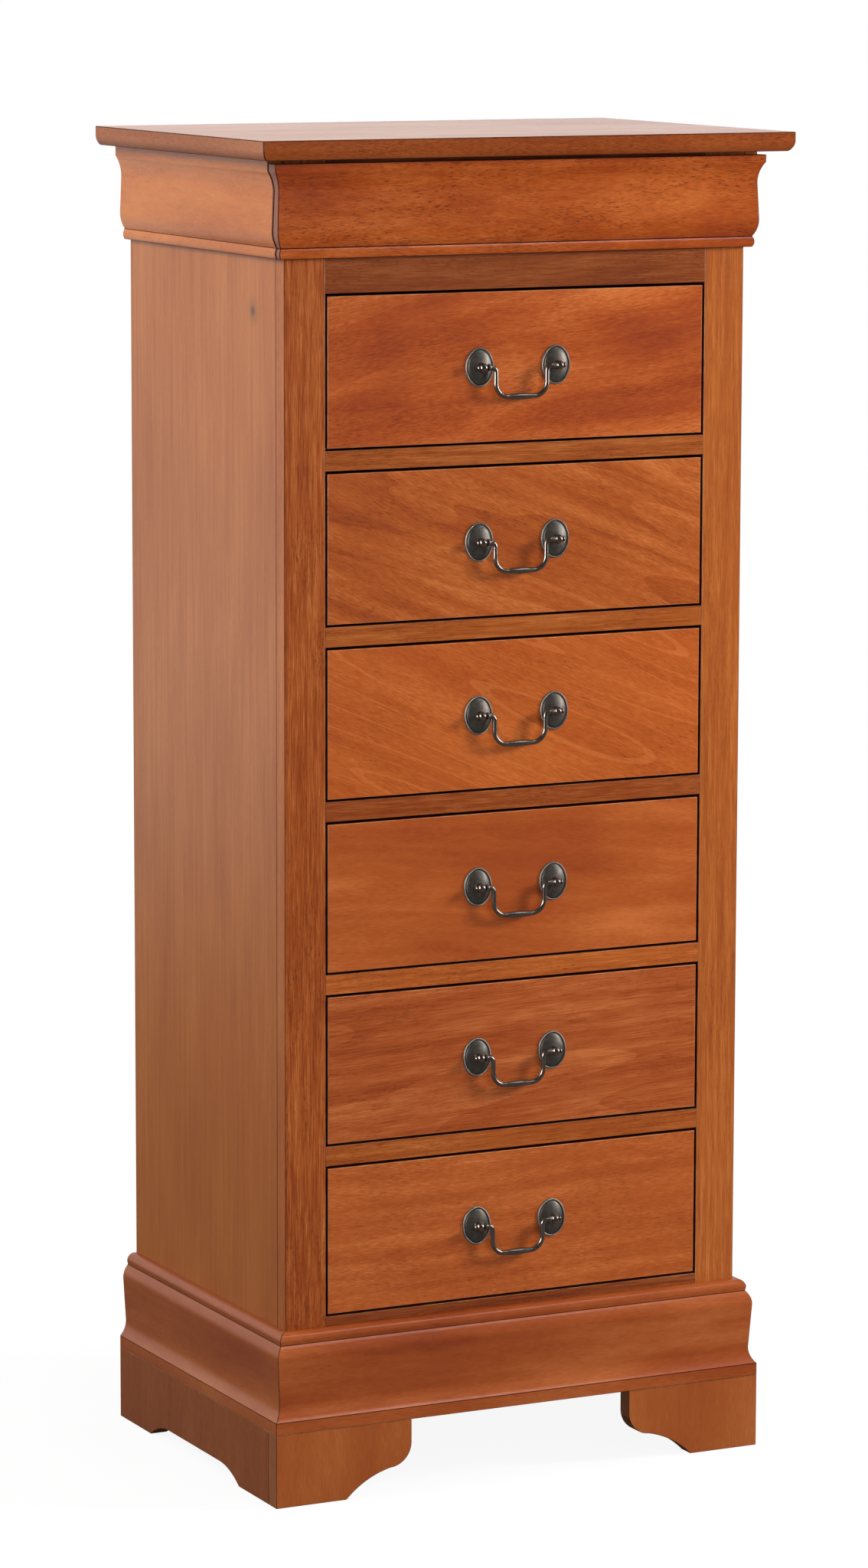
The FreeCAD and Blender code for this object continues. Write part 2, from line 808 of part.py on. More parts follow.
def make_cornice_drawer():
    """Hidden drawer: its inner front stands behind the profiled one and takes the dovetails."""
    label = "cornice_drawer"
    low = cornice_opening + S.running_gap
    high = cornice_opening_top - S.low_side_top_clearance
    inner_face = face - S.running_gap
    joint = inner_face + S.inner_front_thickness
    blank = board(f"{label}_inner_blank", (-drawer_half, inner_face, low), (drawer_half, joint, high))
    waste = sockets(label, low, high, inner_face, joint, S.low_tail_lap, TAILS_PER_LOW_CORNER)
    inner_front = cut(f"{label}_inner_front", blank, group(f"{label}_inner_waste", waste))
    sides = [side_board(f"{label}_side_{name}", side, low, high, inner_face, joint, S.low_tail_lap,
                        TAILS_PER_LOW_CORNER) for name, side in SIDES.items()]
    box = sides + [drawer_back(f"{label}_back", low, high), inner_front]
    add_node(f"{label}_box", group(f"{label}_box", box))
    add_node(f"{label}_bottom", drawer_bottom(f"{label}_bottom", low, joint))


# Pulls: an oval domed plate and a turned post at each end, bolted through the front

plate_thickness = S.plate_rim_height + S.plate_dome_rise
ball_seat = root(S.post_ball_radius * S.post_ball_radius - S.post_neck_radius * S.post_neck_radius)
post_standoff = plate_thickness + S.post_neck_length + ball_seat


def make_plate(label, x, z):
    rim_half_width, rim_half_height = S.plate_width / 2, S.plate_height / 2
    oval = doc.addObject("Part::Ellipse", f"{label}_oval")
    bind(oval, "MajorRadius", rim_half_height)
    bind(oval, "MinorRadius", rim_half_width)
    oval.Placement = Placement(Vector(), Rotation(Vector(1, 1, 1), 120).inverted())
    seat(oval, x, face, z)
    rim = doc.addObject("Part::Extrusion", f"{label}_rim")
    rim.Base = oval
    rim.DirMode = "Custom"
    rim.Dir = Vector(0, -1, 0)
    rim.Solid = True
    bind(rim, "LengthFwd", S.plate_rim_height)
    dome = doc.addObject("Part::Ellipsoid", f"{label}_dome")
    bind(dome, "Radius1", S.plate_dome_rise)
    bind(dome, "Radius2", rim_half_width - S.plate_rim_width)
    bind(dome, "Radius3", rim_half_height - S.plate_rim_width)
    dome.Angle1 = 0
    dome.Placement = Placement(Vector(), TO_FRONT)
    seat(dome, x, face - S.plate_rim_height, z)
    hole = rod(f"{label}_hole", (x, face, z), plate_thickness, S.shank_radius + S.bolt_clearance, TO_FRONT)
    return cut(label, joined(f"{label}_blank", [rim, dome]), hole)


def make_post(label, x, z):
    seat_line = -plate_thickness
    neck_end = seat_line - S.post_neck_length
    ball_centre = -post_standoff
    inner_end = S.front_thickness + S.shank_end
    body = new_body(f"{label}_turned")
    outline = new_sketch(body, f"{label}_profile", "XY_Plane")
    draw(outline, [
        (as_size(0), inner_end),
        (S.shank_radius, inner_end),
        (S.shank_radius, seat_line),
        (S.post_neck_radius, seat_line),
        (S.post_neck_radius, neck_end, around((as_size(0), ball_centre))),
        (as_size(0), ball_centre - S.post_ball_radius),
    ])
    revolve(body, outline, "V_Axis")
    seat(body, x, face, z)
    bore = rod(f"{label}_bore", (x - S.post_ball_radius, face + ball_centre, z), 2 * S.post_ball_radius,
               S.bail_pin_radius + S.bail_pin_clearance, ALONG_X)
    return cut(label, body, bore)


def make_nut(label, x, z):
    hexagon = doc.addObject("Part::Prism", f"{label}_hexagon")
    hexagon.Polygon = 6
    bind(hexagon, "Circumradius", S.nut_width / root(3))
    bind(hexagon, "Height", S.nut_thickness)
    hexagon.Placement = Placement(Vector(), ALONG_Y)
    seat(hexagon, x, face + S.front_thickness, z)
    hole = rod(f"{label}_hole", (x, face + S.front_thickness, z), S.nut_thickness,
               S.shank_radius + S.bail_pin_clearance, ALONG_Y)
    return cut(label, hexagon, hole)


def make_pull(label, z):
    pieces = []
    for name, side in SIDES.items():
        x = side * S.post_spacing / 2
        pieces.append(make_plate(f"{label}_plate_{name}", x, z))
        pieces.append(make_post(f"{label}_post_{name}", x, z))
        pieces.append(make_nut(f"{label}_nut_{name}", x, z))
    return group(f"{label}_pull", pieces)


# Bail: a bent rod with a swollen grip, hung on pins that pass through the balls of the posts

def make_bail(label, z):
    post = S.post_spacing / 2
    inner_stop = post - S.post_ball_radius - S.running_gap
    outer_stop = post + S.post_ball_radius + S.running_gap
    collar_start = inner_stop - S.bail_collar_width
    leg = S.bail_leg_spacing / 2
    drop = -S.bail_drop
    shoulder, corner = S.bail_shoulder_radius, S.bail_corner_radius
    body = new_body(f"{label}_bail")

    path = new_sketch(body, f"{label}_bail_path", "XZ_Plane")
    draw(path, [
        (-collar_start, as_size(0)),
        (-(leg + shoulder), as_size(0), level_start),
        (-leg, -shoulder),
        (-leg, drop + corner, upright_start),
        (-(leg - corner), drop),
        (leg - corner, drop, level_start),
        (leg, drop + corner),
        (leg, -shoulder, upright_start),
        (leg + shoulder, as_size(0)),
        (collar_start, as_size(0)),
    ], closed=False)
    ring = new_sketch(body, f"{label}_bail_ring", "YZ_Plane", lift=-collar_start)
    circle = ring.addGeometry(Part.Circle(Vector(), Vector(0, 0, 1), S.bail_radius.number))
    ring.addConstraint(Sketcher.Constraint("Coincident", circle, 3, -1, 1))
    hold(ring, Sketcher.Constraint("Radius", circle, S.bail_radius.number), S.bail_radius)
    doc.recompute()
    bend = body.newObject("PartDesign::AdditivePipe", f"{label}_bail_rod")
    bend.Profile = ring
    bend.Spine = (path, [f"Edge{index}" for index in range(1, path.GeometryCount + 1)])

    ends = new_sketch(body, f"{label}_bail_ends", "XZ_Plane")
    for side in SIDES.values():
        draw(ends, [
            (side * collar_start, as_size(0)),
            (side * collar_start, S.bail_collar_radius),
            (side * inner_stop, S.bail_collar_radius),
            (side * inner_stop, S.bail_pin_radius),
            (side * outer_stop, S.bail_pin_radius),
            (side * outer_stop, S.bail_head_radius, upright_end),
            (side * (outer_stop + S.bail_head_height), as_size(0)),
        ])
    revolve(body, ends, "H_Axis")

    swell = new_sketch(body, f"{label}_bail_swell", "XZ_Plane")
    bind(swell, "AttachmentOffset.Base.y", drop)
    half_swell, half_crown = S.bail_swell_length / 2, S.bail_crown_length / 2
    draw(swell, [
        (-half_swell, as_size(0)),
        (half_swell, as_size(0)),
        (half_swell, S.bail_radius),
        (half_crown, S.bail_grip_radius),
        (-half_crown, S.bail_grip_radius),
        (-half_swell, S.bail_radius),
    ])
    revolve(body, swell, "H_Axis")
    seat(body, 0, face - post_standoff, z)
    return body


def check_document():
    """Stop before anything is written if a feature failed or a cut took nothing away."""
    for thing in doc.Objects:
        if "Invalid" in thing.State or "Error" in thing.State:
            raise RuntimeError(f"{thing.Name} failed: {thing.State}")
    for before, after in cuts:
        if not after.Shape.Volume < before.Shape.Volume:
            raise RuntimeError(f"{after.Name} cuts nothing")
    for name, thing in nodes.items():
        if thing.Shape.isNull() or not thing.Shape.isValid():
            raise RuntimeError(f"{name} has no valid shape")


make_top()
make_case()
make_cornice_sides()
make_base_mouldings()
make_feet()
make_runners()
for drawer_number in range(1, DRAWER_COUNT + 1):
    make_drawer(drawer_number)
make_cornice_front()
make_cornice_drawer()
doc.recompute()
check_document()

os.makedirs("parts", exist_ok=True)
for node_name, node in nodes.items():
    node.Shape.exportStep(f"parts/{node_name}.step")
    print(f"{node_name}: {len(node.Shape.Solids)} solids, {node.Shape.Volume / 1000:.1f} cm3")
print(f"{len(nodes)} nodes")
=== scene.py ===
import json
import math

import bmesh
import bpy
from mathutils import Matrix, Vector


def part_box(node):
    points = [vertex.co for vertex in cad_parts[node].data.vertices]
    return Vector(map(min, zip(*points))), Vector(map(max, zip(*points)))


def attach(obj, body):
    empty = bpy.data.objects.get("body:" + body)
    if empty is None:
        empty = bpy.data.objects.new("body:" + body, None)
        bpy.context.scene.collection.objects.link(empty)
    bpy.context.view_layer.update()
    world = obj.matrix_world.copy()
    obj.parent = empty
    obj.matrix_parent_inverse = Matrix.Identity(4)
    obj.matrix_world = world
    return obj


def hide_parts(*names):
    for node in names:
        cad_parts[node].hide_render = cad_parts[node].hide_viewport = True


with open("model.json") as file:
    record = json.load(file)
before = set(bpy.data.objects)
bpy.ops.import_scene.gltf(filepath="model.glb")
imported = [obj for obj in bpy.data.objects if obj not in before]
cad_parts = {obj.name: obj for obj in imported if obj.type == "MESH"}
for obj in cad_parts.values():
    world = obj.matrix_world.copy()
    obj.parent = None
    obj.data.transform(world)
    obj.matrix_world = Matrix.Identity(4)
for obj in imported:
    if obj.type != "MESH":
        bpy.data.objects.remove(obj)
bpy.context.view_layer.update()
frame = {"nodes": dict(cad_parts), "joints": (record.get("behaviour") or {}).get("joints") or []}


# Top board: a glued-up hardwood panel, square above and rounded under along the front and both ends.
# It is stained cherry, and the dark glaze wiped on before the satin lacquer stays in its arrises and pores.

def stain(red, green, blue):
    """Linear colour of a finish written as the 0 to 255 values that it shows on a screen."""
    colour = []
    for value in (red, green, blue):
        share = value / 255
        colour.append(share / 12.92 if share <= 0.04045 else ((share + 0.055) / 1.055) ** 2.4)
    return (*colour, 1.0)


def shades(red, green, blue, spread):
    """Dark, middle and light tone of one stain, the dark one deeper in colour and the light one paler."""
    dark = stain(red - spread, max(0, green - 0.95 * spread), max(0, blue - 0.55 * spread))
    light = stain(red + spread, green + spread, blue + 0.85 * spread)
    return dark, stain(red, green, blue), light


def wire(tree, kind, inputs, **settings):
    """Add one shading node; each input takes a plain value or the output that feeds it."""
    node = tree.nodes.new("ShaderNode" + kind)
    for setting, value in settings.items():
        setattr(node, setting, value)
    for socket, value in inputs.items():
        if isinstance(value, bpy.types.NodeSocket):
            tree.links.new(value, node.inputs[socket])
        else:
            node.inputs[socket].default_value = value
    return node


def add_share(tree, value, share, base):
    """The base with a share of the value added to it."""
    return wire(tree, "Math", {0: value, 1: share, 2: base}, operation="MULTIPLY_ADD").outputs[0]


def tint(tree, share, first, second):
    """Colour that goes from the first to the second as the share goes from 0 to 1."""
    return wire(tree, "Mix", {0: share, 6: first, 7: second}, data_type="RGBA").outputs[2]


def span(tree, value, low, high, start=0.0, end=1.0):
    """Number that goes from start to end as the value goes from low to high, and stays there beyond them."""
    inputs = {"Value": value, "From Min": low, "From Max": high, "To Min": start, "To Max": end}
    return wire(tree, "MapRange", inputs).outputs[0]


def grain_field(tree, place, size, detail, socket="Fac"):
    """Noise drawn out along the grain; size is the length and width of its marks in metres."""
    length, width = size
    scale = (1 / length, 1 / width, 1 / width)
    drawn = wire(tree, "Mapping", {"Vector": place, "Scale": scale}).outputs[0]
    inputs = {"Vector": drawn, "Scale": 1.0, "Detail": detail, "Roughness": 0.55}
    return wire(tree, "TexNoise", inputs).outputs[socket]


GRAIN_TURNS = {"x": (0.0, 0.0, 0.0), "y": (0.0, 0.0, -math.pi / 2), "z": (0.0, math.pi / 2, 0.0)}
# Length and width of each kind of mark in the wood.
SWAY, RING, CLOUD = (0.30, 0.09), (0.60, 0.06), (0.22, 0.07)
FLECK, PORE, PORE_CLUMP = (0.028, 0.0055), (0.0065, 0.0006), (0.09, 0.03)
RIBBON_STRETCH, FIBRE_WIDTH = 30, 0.0008
RINGS_ACROSS, RING_LINE = 6.0, 0.035
TONE_STOPS = (0.22, 0.5, 0.78)
# Values of the noise between which pores, their clumps and rubbed patches fade in.
PORE_FADE, CLUMP_FADE, PATCH_FADE = (0.56, 0.68), (0.38, 0.62), (0.35, 0.65)
LEAST_CLUMPED = 0.25
PATCHES_PER_METRE, LEAST_PALED, MOST_PALED = 70.0, 0.11, 0.55
GLOSS_SPREAD, GLAZE_DULLING, LACQUER_ROUGHNESS = 0.05, 0.85, 0.22
FIBRE_RELIEF, RELIEF, RELIEF_STRENGTH = 0.35, 0.0003, 0.06
# Dark glaze, which some arrises also carry as painted shade, and pale worn wood, which some arrises also
# carry as a painted highlight.
GLAZE_AND_SHADE, WEAR_AND_HIGHLIGHT = stain(48, 20, 12), stain(214, 160, 112)


def stained_wood(name, tones, along, slope=0.0, shift=(0.0, 0.0, 0.0), wander=0.008, cloud=0.4, rings=0.0,
                 lines=0.0, ribbon=0.35, ribbon_width=0.012, fleck=0.15, fibre=0.5, fibre_length=0.009,
                 pore=0.4, roughness=0.24, lacquer=0.05, sheen=0.4, arris_darkening=0.8):
    """Satin lacquered wood in three tones, with its grain along one axis and turned by a slope in degrees."""
    material = bpy.data.materials.new(name)
    material.use_nodes = True
    tree = material.node_tree
    turn = Vector(GRAIN_TURNS[along]) + Vector((0.0, math.radians(slope), 0.0))
    place = wire(tree, "TexCoord", {}).outputs["Object"]
    grain = wire(tree, "Mapping", {"Vector": place, "Location": shift, "Rotation": turn}).outputs[0]
    sway = grain_field(tree, grain, SWAY, 1.0, "Color")
    swayed = {0: sway, 1: (0.0, wander, wander), 2: grain}
    bent = wire(tree, "VectorMath", swayed, operation="MULTIPLY_ADD").outputs[0]

    growth = add_share(tree, grain_field(tree, bent, RING, 0.0), RINGS_ACROSS, 0.0)
    ring = wire(tree, "Math", {0: growth}, operation="FRACT").outputs[0]
    ribbon_size = (RIBBON_STRETCH * ribbon_width, ribbon_width)
    fine = grain_field(tree, bent, (fibre_length, FIBRE_WIDTH), 1.0)
    tone = add_share(tree, ring, rings, 0.5 - 0.5 * (rings + cloud + ribbon + fleck + fibre))
    tone = add_share(tree, grain_field(tree, bent, CLOUD, 2.0), cloud, tone)
    tone = add_share(tree, grain_field(tree, bent, ribbon_size, 1.0), ribbon, tone)
    tone = add_share(tree, grain_field(tree, bent, FLECK, 2.0), fleck, tone)
    tone = add_share(tree, fine, fibre, tone)
    ramp = wire(tree, "ValToRGB", {"Fac": tone})
    ramp.color_ramp.elements.new(0.5)
    for stop, position, colour in zip(ramp.color_ramp.elements, TONE_STOPS, tones):
        stop.position = position
        stop.color = colour
    colour = ramp.outputs["Color"]

    line = wire(tree, "Math", {0: ring, 1: 0.5, 2: RING_LINE}, operation="COMPARE").outputs[0]
    colour = tint(tree, add_share(tree, line, lines, 0.0), colour, tones[2])
    pores = span(tree, grain_field(tree, bent, PORE, 1.0), *PORE_FADE)
    clumps = span(tree, grain_field(tree, bent, PORE_CLUMP, 1.0), *CLUMP_FADE, LEAST_CLUMPED, 1.0)
    pores = wire(tree, "Math", {0: pores, 1: clumps}, operation="MULTIPLY").outputs[0]
    colour = tint(tree, add_share(tree, pores, pore, 0.0), colour, GLAZE_AND_SHADE)
    # Arrises marked 1 take the dark glaze, which on the rails' lower arrises and at the hidden drawer's seams
    # is painted shade; those marked -1 are paled in patches, which on drawer fronts and rail tops is a
    # painted highlight.
    arris = wire(tree, "Attribute", {}, attribute_name="arris").outputs["Fac"]
    colour = tint(tree, add_share(tree, arris, arris_darkening, 0.0), colour, GLAZE_AND_SHADE)
    patches = wire(tree, "TexNoise", {"Vector": place, "Scale": PATCHES_PER_METRE, "Detail": 2.0})
    rubbed = span(tree, patches.outputs["Fac"], *PATCH_FADE, -LEAST_PALED, -MOST_PALED)
    rubbed = wire(tree, "Math", {0: arris, 1: rubbed}, operation="MULTIPLY").outputs[0]
    colour = tint(tree, rubbed, colour, WEAR_AND_HIGHLIGHT)

    shader = tree.nodes["Principled BSDF"]
    tree.links.new(colour, shader.inputs["Base Color"])
    gloss = span(tree, tone, 0.2, 0.8, roughness + GLOSS_SPREAD, roughness - GLOSS_SPREAD)
    tree.links.new(gloss, shader.inputs["Roughness"])
    height = add_share(tree, pores, -1.0, add_share(tree, fine, FIBRE_RELIEF, 0.5))
    bump = wire(tree, "Bump", {"Height": height, "Strength": RELIEF_STRENGTH, "Distance": RELIEF})
    tree.links.new(bump.outputs[0], shader.inputs["Normal"])
    darkened_arris = wire(tree, "Math", {0: arris, 1: 0.0}, operation="MAXIMUM").outputs[0]
    dulled = add_share(tree, darkened_arris, -GLAZE_DULLING * sheen, sheen)
    tree.links.new(dulled, shader.inputs["Specular IOR Level"])
    shader.inputs["Coat Weight"].default_value = lacquer
    shader.inputs["Coat Roughness"].default_value = LACQUER_ROUGHNESS
    return material


MERGED = 1e-6
FLAT = math.radians(0.5)
SHARP = math.radians(35)


def whole_copy(node, slot_of=None):
    """The node's mesh, its triangles merged into whole faces; slot_of picks a face's finish by its normal."""
    mesh = bmesh.new()
    mesh.from_mesh(frame["nodes"][node].data)
    mesh.faces.layers.float.new("arris")
    bmesh.ops.remove_doubles(mesh, verts=mesh.verts, dist=MERGED)
    bmesh.ops.dissolve_limit(mesh, angle_limit=FLAT, verts=mesh.verts, edges=mesh.edges)
    if slot_of is not None:
        for face in mesh.faces:
            face.material_index = slot_of(face.normal)
    return mesh


def ease(mesh, arris, mark_of=None, edge_of=None):
    """Round over the sharp arrises, or those of them that edge_of picks.

    Each rounded face is marked 1 where it is darkened, by glaze and in places as painted shade, and -1 where
    it is paled, by rubbing and in places as a painted highlight.
    """
    mark = mesh.faces.layers.float["arris"]
    sharp = [edge for edge in mesh.edges if edge.is_manifold and edge.calc_face_angle() > SHARP]
    if edge_of is not None:
        sharp = [edge for edge in sharp if edge_of(edge)]
    rounded = bmesh.ops.bevel(mesh, geom=sharp, offset=arris, offset_type="OFFSET", affect="EDGES",
                              segments=3, profile=0.5, material=-1, clamp_overlap=True)
    for face in rounded["faces"]:
        face[mark] = 1.0 if mark_of is None else mark_of(face.normal)


def eased_copy(node, arris, slot_of=None, mark_of=None):
    mesh = whole_copy(node, slot_of)
    ease(mesh, arris, mark_of)
    return mesh


def place_piece(name, mesh, body, slot, *materials):
    """Make a piece of a finished mesh, which rides on its body and takes the finishes given after the slot;
    the slot is not used.
    """
    data = bpy.data.meshes.new(name)
    mesh.to_mesh(data)
    mesh.free()
    if "custom_normal" in data.attributes:
        data.attributes.remove(data.attributes["custom_normal"])
    data.shade_smooth()
    data.set_sharp_from_angle(angle=SHARP)
    for material in materials:
        data.materials.append(material)
    piece = bpy.data.objects.new(name, data)
    bpy.context.scene.collection.objects.link(piece)
    piece.modifiers.new("even_shading", "WEIGHTED_NORMAL").keep_sharp = True
    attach(piece, body)
    return piece


TOP_ARRIS = 0.0009
FACING = 0.9
top_finish = stained_wood("top_board", shades(195, 108, 31, 26), "x", ribbon_width=0.016, sheen=0.26)
top_edge_finish = stained_wood("top_board_edge", shades(143, 66, 19, 26), "x", fibre_length=0.006, pore=0.6,
                               arris_darkening=0.9)
top_end_finish = stained_wood("top_board_end", shades(150, 80, 34, 22), "y", fibre_length=0.006,
                              roughness=0.45, lacquer=0.0, arris_darkening=0.9)


def top_slot(normal):
    """Broad face, long edge or end of the board."""
    if abs(normal.z) > FACING:
        return 0
    return 1 if abs(normal.y) > abs(normal.x) else 2


top_board = place_piece("top_board", eased_copy("top_panel", TOP_ARRIS, top_slot), "case", "top_wood",
                        top_finish, top_edge_finish, top_end_finish)
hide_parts("top_panel")


# Side panels: veneered boards with an even, straight ribbon grain that runs from the base to the top.
# They are rebated behind for the back panel and glued to the back of the face frame at the front.

SIDE_ARRIS = 0.0007
SIDE_SHIFTS = {"left": 0.0, "right": 0.37}
KNOT_PLACE = (-0.2435, -0.092, 1.1325)
KNOT_SIZE = (0.010, 0.0056, 0.0064)
# Where halo and heart begin and are full, in knot sizes, and how dark they are.
KNOT_HALO, KNOT_HEART = (2.6, 0.6, 0.0, 0.35), (1.0, 0.35, 0.0, 0.6)


def add_knot(material, middle, size):
    """Darken one small knot and the wood round it."""
    tree = material.node_tree
    shader = tree.nodes["Principled BSDF"]
    wood_colour = shader.inputs["Base Color"].links[0].from_socket
    place = wire(tree, "TexCoord", {}).outputs["Object"]
    centred = wire(tree, "VectorMath", {0: place, 1: middle}, operation="SUBTRACT").outputs[0]
    scaled = wire(tree, "VectorMath", {0: centred, 1: size}, operation="DIVIDE").outputs[0]
    reach = wire(tree, "VectorMath", {0: scaled}, operation="LENGTH").outputs["Value"]
    halo = tint(tree, span(tree, reach, *KNOT_HALO), wood_colour, GLAZE_AND_SHADE)
    heart = tint(tree, span(tree, reach, *KNOT_HEART), halo, GLAZE_AND_SHADE)
    tree.links.new(heart, shader.inputs["Base Color"])


for side, shift in SIDE_SHIFTS.items():
    finish = stained_wood(f"side_veneer_{side}", shades(171, 94, 32, 24), "z", shift=(shift, shift, shift),
                          wander=0.004, ribbon=0.32, ribbon_width=0.006, fleck=0.12, fibre=0.2, pore=0.15,
                          roughness=0.38)
    if side == "left":
        add_knot(finish, KNOT_PLACE, KNOT_SIZE)
    mesh = eased_copy(f"side_panel_{side}", SIDE_ARRIS)
    panel = place_piece(f"side_board_{side}", mesh, "case", "side_wood", finish)
    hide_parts(f"side_panel_{side}")


# Back panel: thin plywood with a plain rotary-cut face, left without stain.
# It is let into the rebates of the sides and bradded there.

panel_tones = shades(186, 150, 108, 24)


def dress(node, finish):
    """Finish a piece that keeps its plain mesh."""
    frame["nodes"][node].material_slots[0].material = finish


back_finish = stained_wood("back_plywood", panel_tones, "z", wander=0.02, rings=0.18, fibre=0.4, pore=0.2,
                           roughness=0.6)
dress("back_panel", back_finish)


# Face frame: solid stiles and rails glued up flush, with straight grain along each piece.
# The stiles run from the base to the top and the rails between the drawers are tenoned into them.

FRAME_ARRIS = 0.0005
LEANING = 0.3
STILES = {
    "left": {"outward": -1, "shift": 0.43, "pore": 0.7, "tones": shades(160, 78, 26, 36)},
    "right": {"outward": 1, "shift": 0.61, "pore": 0.3, "tones": shades(171, 90, 34, 22)},
}
# The top rail is toned darker than the rails below it, as painted shadow from the cornice.
RAIL_TONES = {
    "crown_rail": shades(112, 52, 16, 24), "top_rail": shades(132, 64, 24, 26),
    "divider_rail_1": shades(154, 77, 26, 34), "divider_rail_2": shades(160, 81, 27, 30),
    "divider_rail_3": shades(145, 69, 24, 30), "divider_rail_4": shades(175, 89, 32, 30),
    "divider_rail_5": shades(163, 82, 28, 30), "bottom_rail": shades(132, 62, 21, 26),
}
stile_edge_finish = stained_wood("stile_edge", shades(172, 93, 36, 26), "z", fibre=0.4, pore=0.25,
                                 roughness=0.42, lacquer=0.0)
hidden_edge_finish = stained_wood("hidden_edge", shades(92, 43, 18, 22), "x", fibre=0.4, roughness=0.7,
                                  lacquer=0.0, sheen=0.1)


def stile_slot(normal, outward):
    """Face, outer edge or the inner edge that stands beside the drawers."""
    if abs(normal.x) < FACING:
        return 0
    return 1 if normal.x * outward > 0 else 2


def rail_slot(normal):
    return 1 if abs(normal.z) > FACING else 0


def rail_highlight_and_shade(normal):
    """Paled in patches above, as a painted highlight, and darkened below, as painted shade over the drawer
    gap, with a little glaze at the ends.
    """
    if normal.z > LEANING:
        return -1.0
    return 1.0 if normal.z < -LEANING else 0.4


for side, stile in STILES.items():
    outward, shift = stile["outward"], stile["shift"]
    finish = stained_wood(f"stile_{side}_grain", stile["tones"], "z", shift=(shift, 0.0, shift), wander=0.004,
                          cloud=0.25, ribbon=0.5, ribbon_width=0.004, fibre=0.75, fibre_length=0.025,
                          pore=stile["pore"])
    mesh = eased_copy(f"stile_{side}", FRAME_ARRIS, lambda normal: stile_slot(normal, outward),
                      lambda normal: 1.0 if normal.x * outward > 0 else -1.0)
    board = place_piece(f"stile_board_{side}", mesh, "case", "frame_wood", finish, stile_edge_finish,
                        hidden_edge_finish)
    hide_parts(f"stile_{side}")
for rail, tones in RAIL_TONES.items():
    # Their strong arris darkening paints shade on the lower arris, over the gap above each drawer.
    finish = stained_wood(f"{rail}_grain", tones, "x", wander=0.004, ribbon=0.5, ribbon_width=0.005,
                          fibre=0.6, fibre_length=0.025, pore=0.5, arris_darkening=0.95)
    mesh = eased_copy(rail, FRAME_ARRIS, rail_slot, rail_highlight_and_shade)
    board = place_piece(f"{rail}_board", mesh, "case", "frame_wood", finish, hidden_edge_finish)
    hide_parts(rail)


# Cornice: solid mouldings with bead, ovolo, long hollow face and cove, mitred round the case.
# The front length is the face of a hidden drawer, with its own short returns that meet the side lengths.

MOULDING_ARRIS, RETURN_ARRIS = 0.0005, 0.0013
# The left length is toned lighter and more saturated than the right, to how that side shows in the light:
# painted light.
CORNICE_SIDE_TONES = {"left": shades(187, 98, 10, 22), "right": shades(176, 92, 28, 22)}
cornice_front_finish = stained_wood("cornice_front", shades(164, 73, 18, 32), "x", shift=(0.29, 0.0, 0.0),
                                    wander=0.020, cloud=1.0, ribbon=0.2, fleck=0.3, fibre=0.45, pore=0.7,
                                    arris_darkening=0.95)
return_finish = stained_wood("cornice_return", shades(136, 76, 54, 18), "z", fleck=0.2, fibre=0.2, pore=0.1,
                             roughness=0.4, lacquer=0.0, sheen=0.3, arris_darkening=0.95)


def at_front_end(edge):
    return any(face.normal.y < -FACING for face in edge.link_faces)


def cornice_slot(normal):
    """Long face, or the short return at either end."""
    return 1 if abs(normal.x) > 0.5 else 0


for side, tones in CORNICE_SIDE_TONES.items():
    finish = stained_wood(f"cornice_{side}_grain", tones, "y", fleck=0.3, fibre=0.35, pore=0.35,
                          roughness=0.30, arris_darkening=0.9)
    mesh = whole_copy(f"cornice_{side}")
    # The wide dark arris at the front end of each side length is painted shade in the seam beside the hidden
    # drawer.
    ease(mesh, RETURN_ARRIS, edge_of=at_front_end)
    ease(mesh, MOULDING_ARRIS)
    moulding = place_piece(f"cornice_moulding_{side}", mesh, "case", "moulding_wood", finish)
    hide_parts(f"cornice_{side}")
# Its wide dark arrises outline the returns, as glaze on the outer corners and as painted shade in the seams
# beside them.
mesh = eased_copy("cornice_drawer_front", RETURN_ARRIS, cornice_slot)
cornice_face = place_piece("cornice_moulding_front", mesh, "cornice_drawer", "moulding_wood",
                           cornice_front_finish, return_finish)
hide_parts("cornice_drawer_front")


# Base: three lengths of one solid moulding, a bead over a long flare, stained like the case.
# They are mitred at the front corners and glued round the foot of the case.

base_side_look = {"tones": shades(158, 77, 25, 26), "along": "y", "roughness": 0.36, "lacquer": 0.0}
BASE_LOOKS = {
    "front": (Vector((0, 1, 0)), {"tones": shades(157, 75, 29, 30), "along": "x"}),
    "left": (Vector((1, 0, 0)), base_side_look),
    "right": (Vector((-1, 0, 0)), base_side_look),
}


def base_mark(normal, to_case):
    """Rubbed pale along the upper inner arris, where the moulding meets the case."""
    return -1.0 if normal.z > LEANING and normal.dot(to_case) > LEANING else 1.0


for side, (to_case, look) in BASE_LOOKS.items():
    finish = stained_wood(f"base_{side}_grain", wander=0.014, cloud=0.7, rings=0.04, ribbon=0.2, fleck=0.15,
                          fibre=0.25, pore=0.15, **look)
    mesh = eased_copy(f"base_moulding_{side}", MOULDING_ARRIS,
                      mark_of=lambda normal: base_mark(normal, to_case))
    moulding = place_piece(f"base_board_{side}", mesh, "case", "moulding_wood", finish)
    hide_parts(f"base_moulding_{side}")


# Feet: sawn bracket feet in front and skirts along the sides, with upright grain and sawn ogee edges.
# They are glued under the base moulding and mitred or butted at the corners.

FOOT_ARRIS = 0.0005
SQUARE_TO = 0.98
foot_edge_finish = stained_wood("foot_edge", shades(116, 70, 34, 26), "z", pore=0.3, roughness=0.7,
                                lacquer=0.0, sheen=0.12)
foot_strip_finish = stained_wood("foot_strip", shades(148, 86, 42, 24), "z", fibre=0.4, pore=0.2,
                                 roughness=0.5, lacquer=0.0)


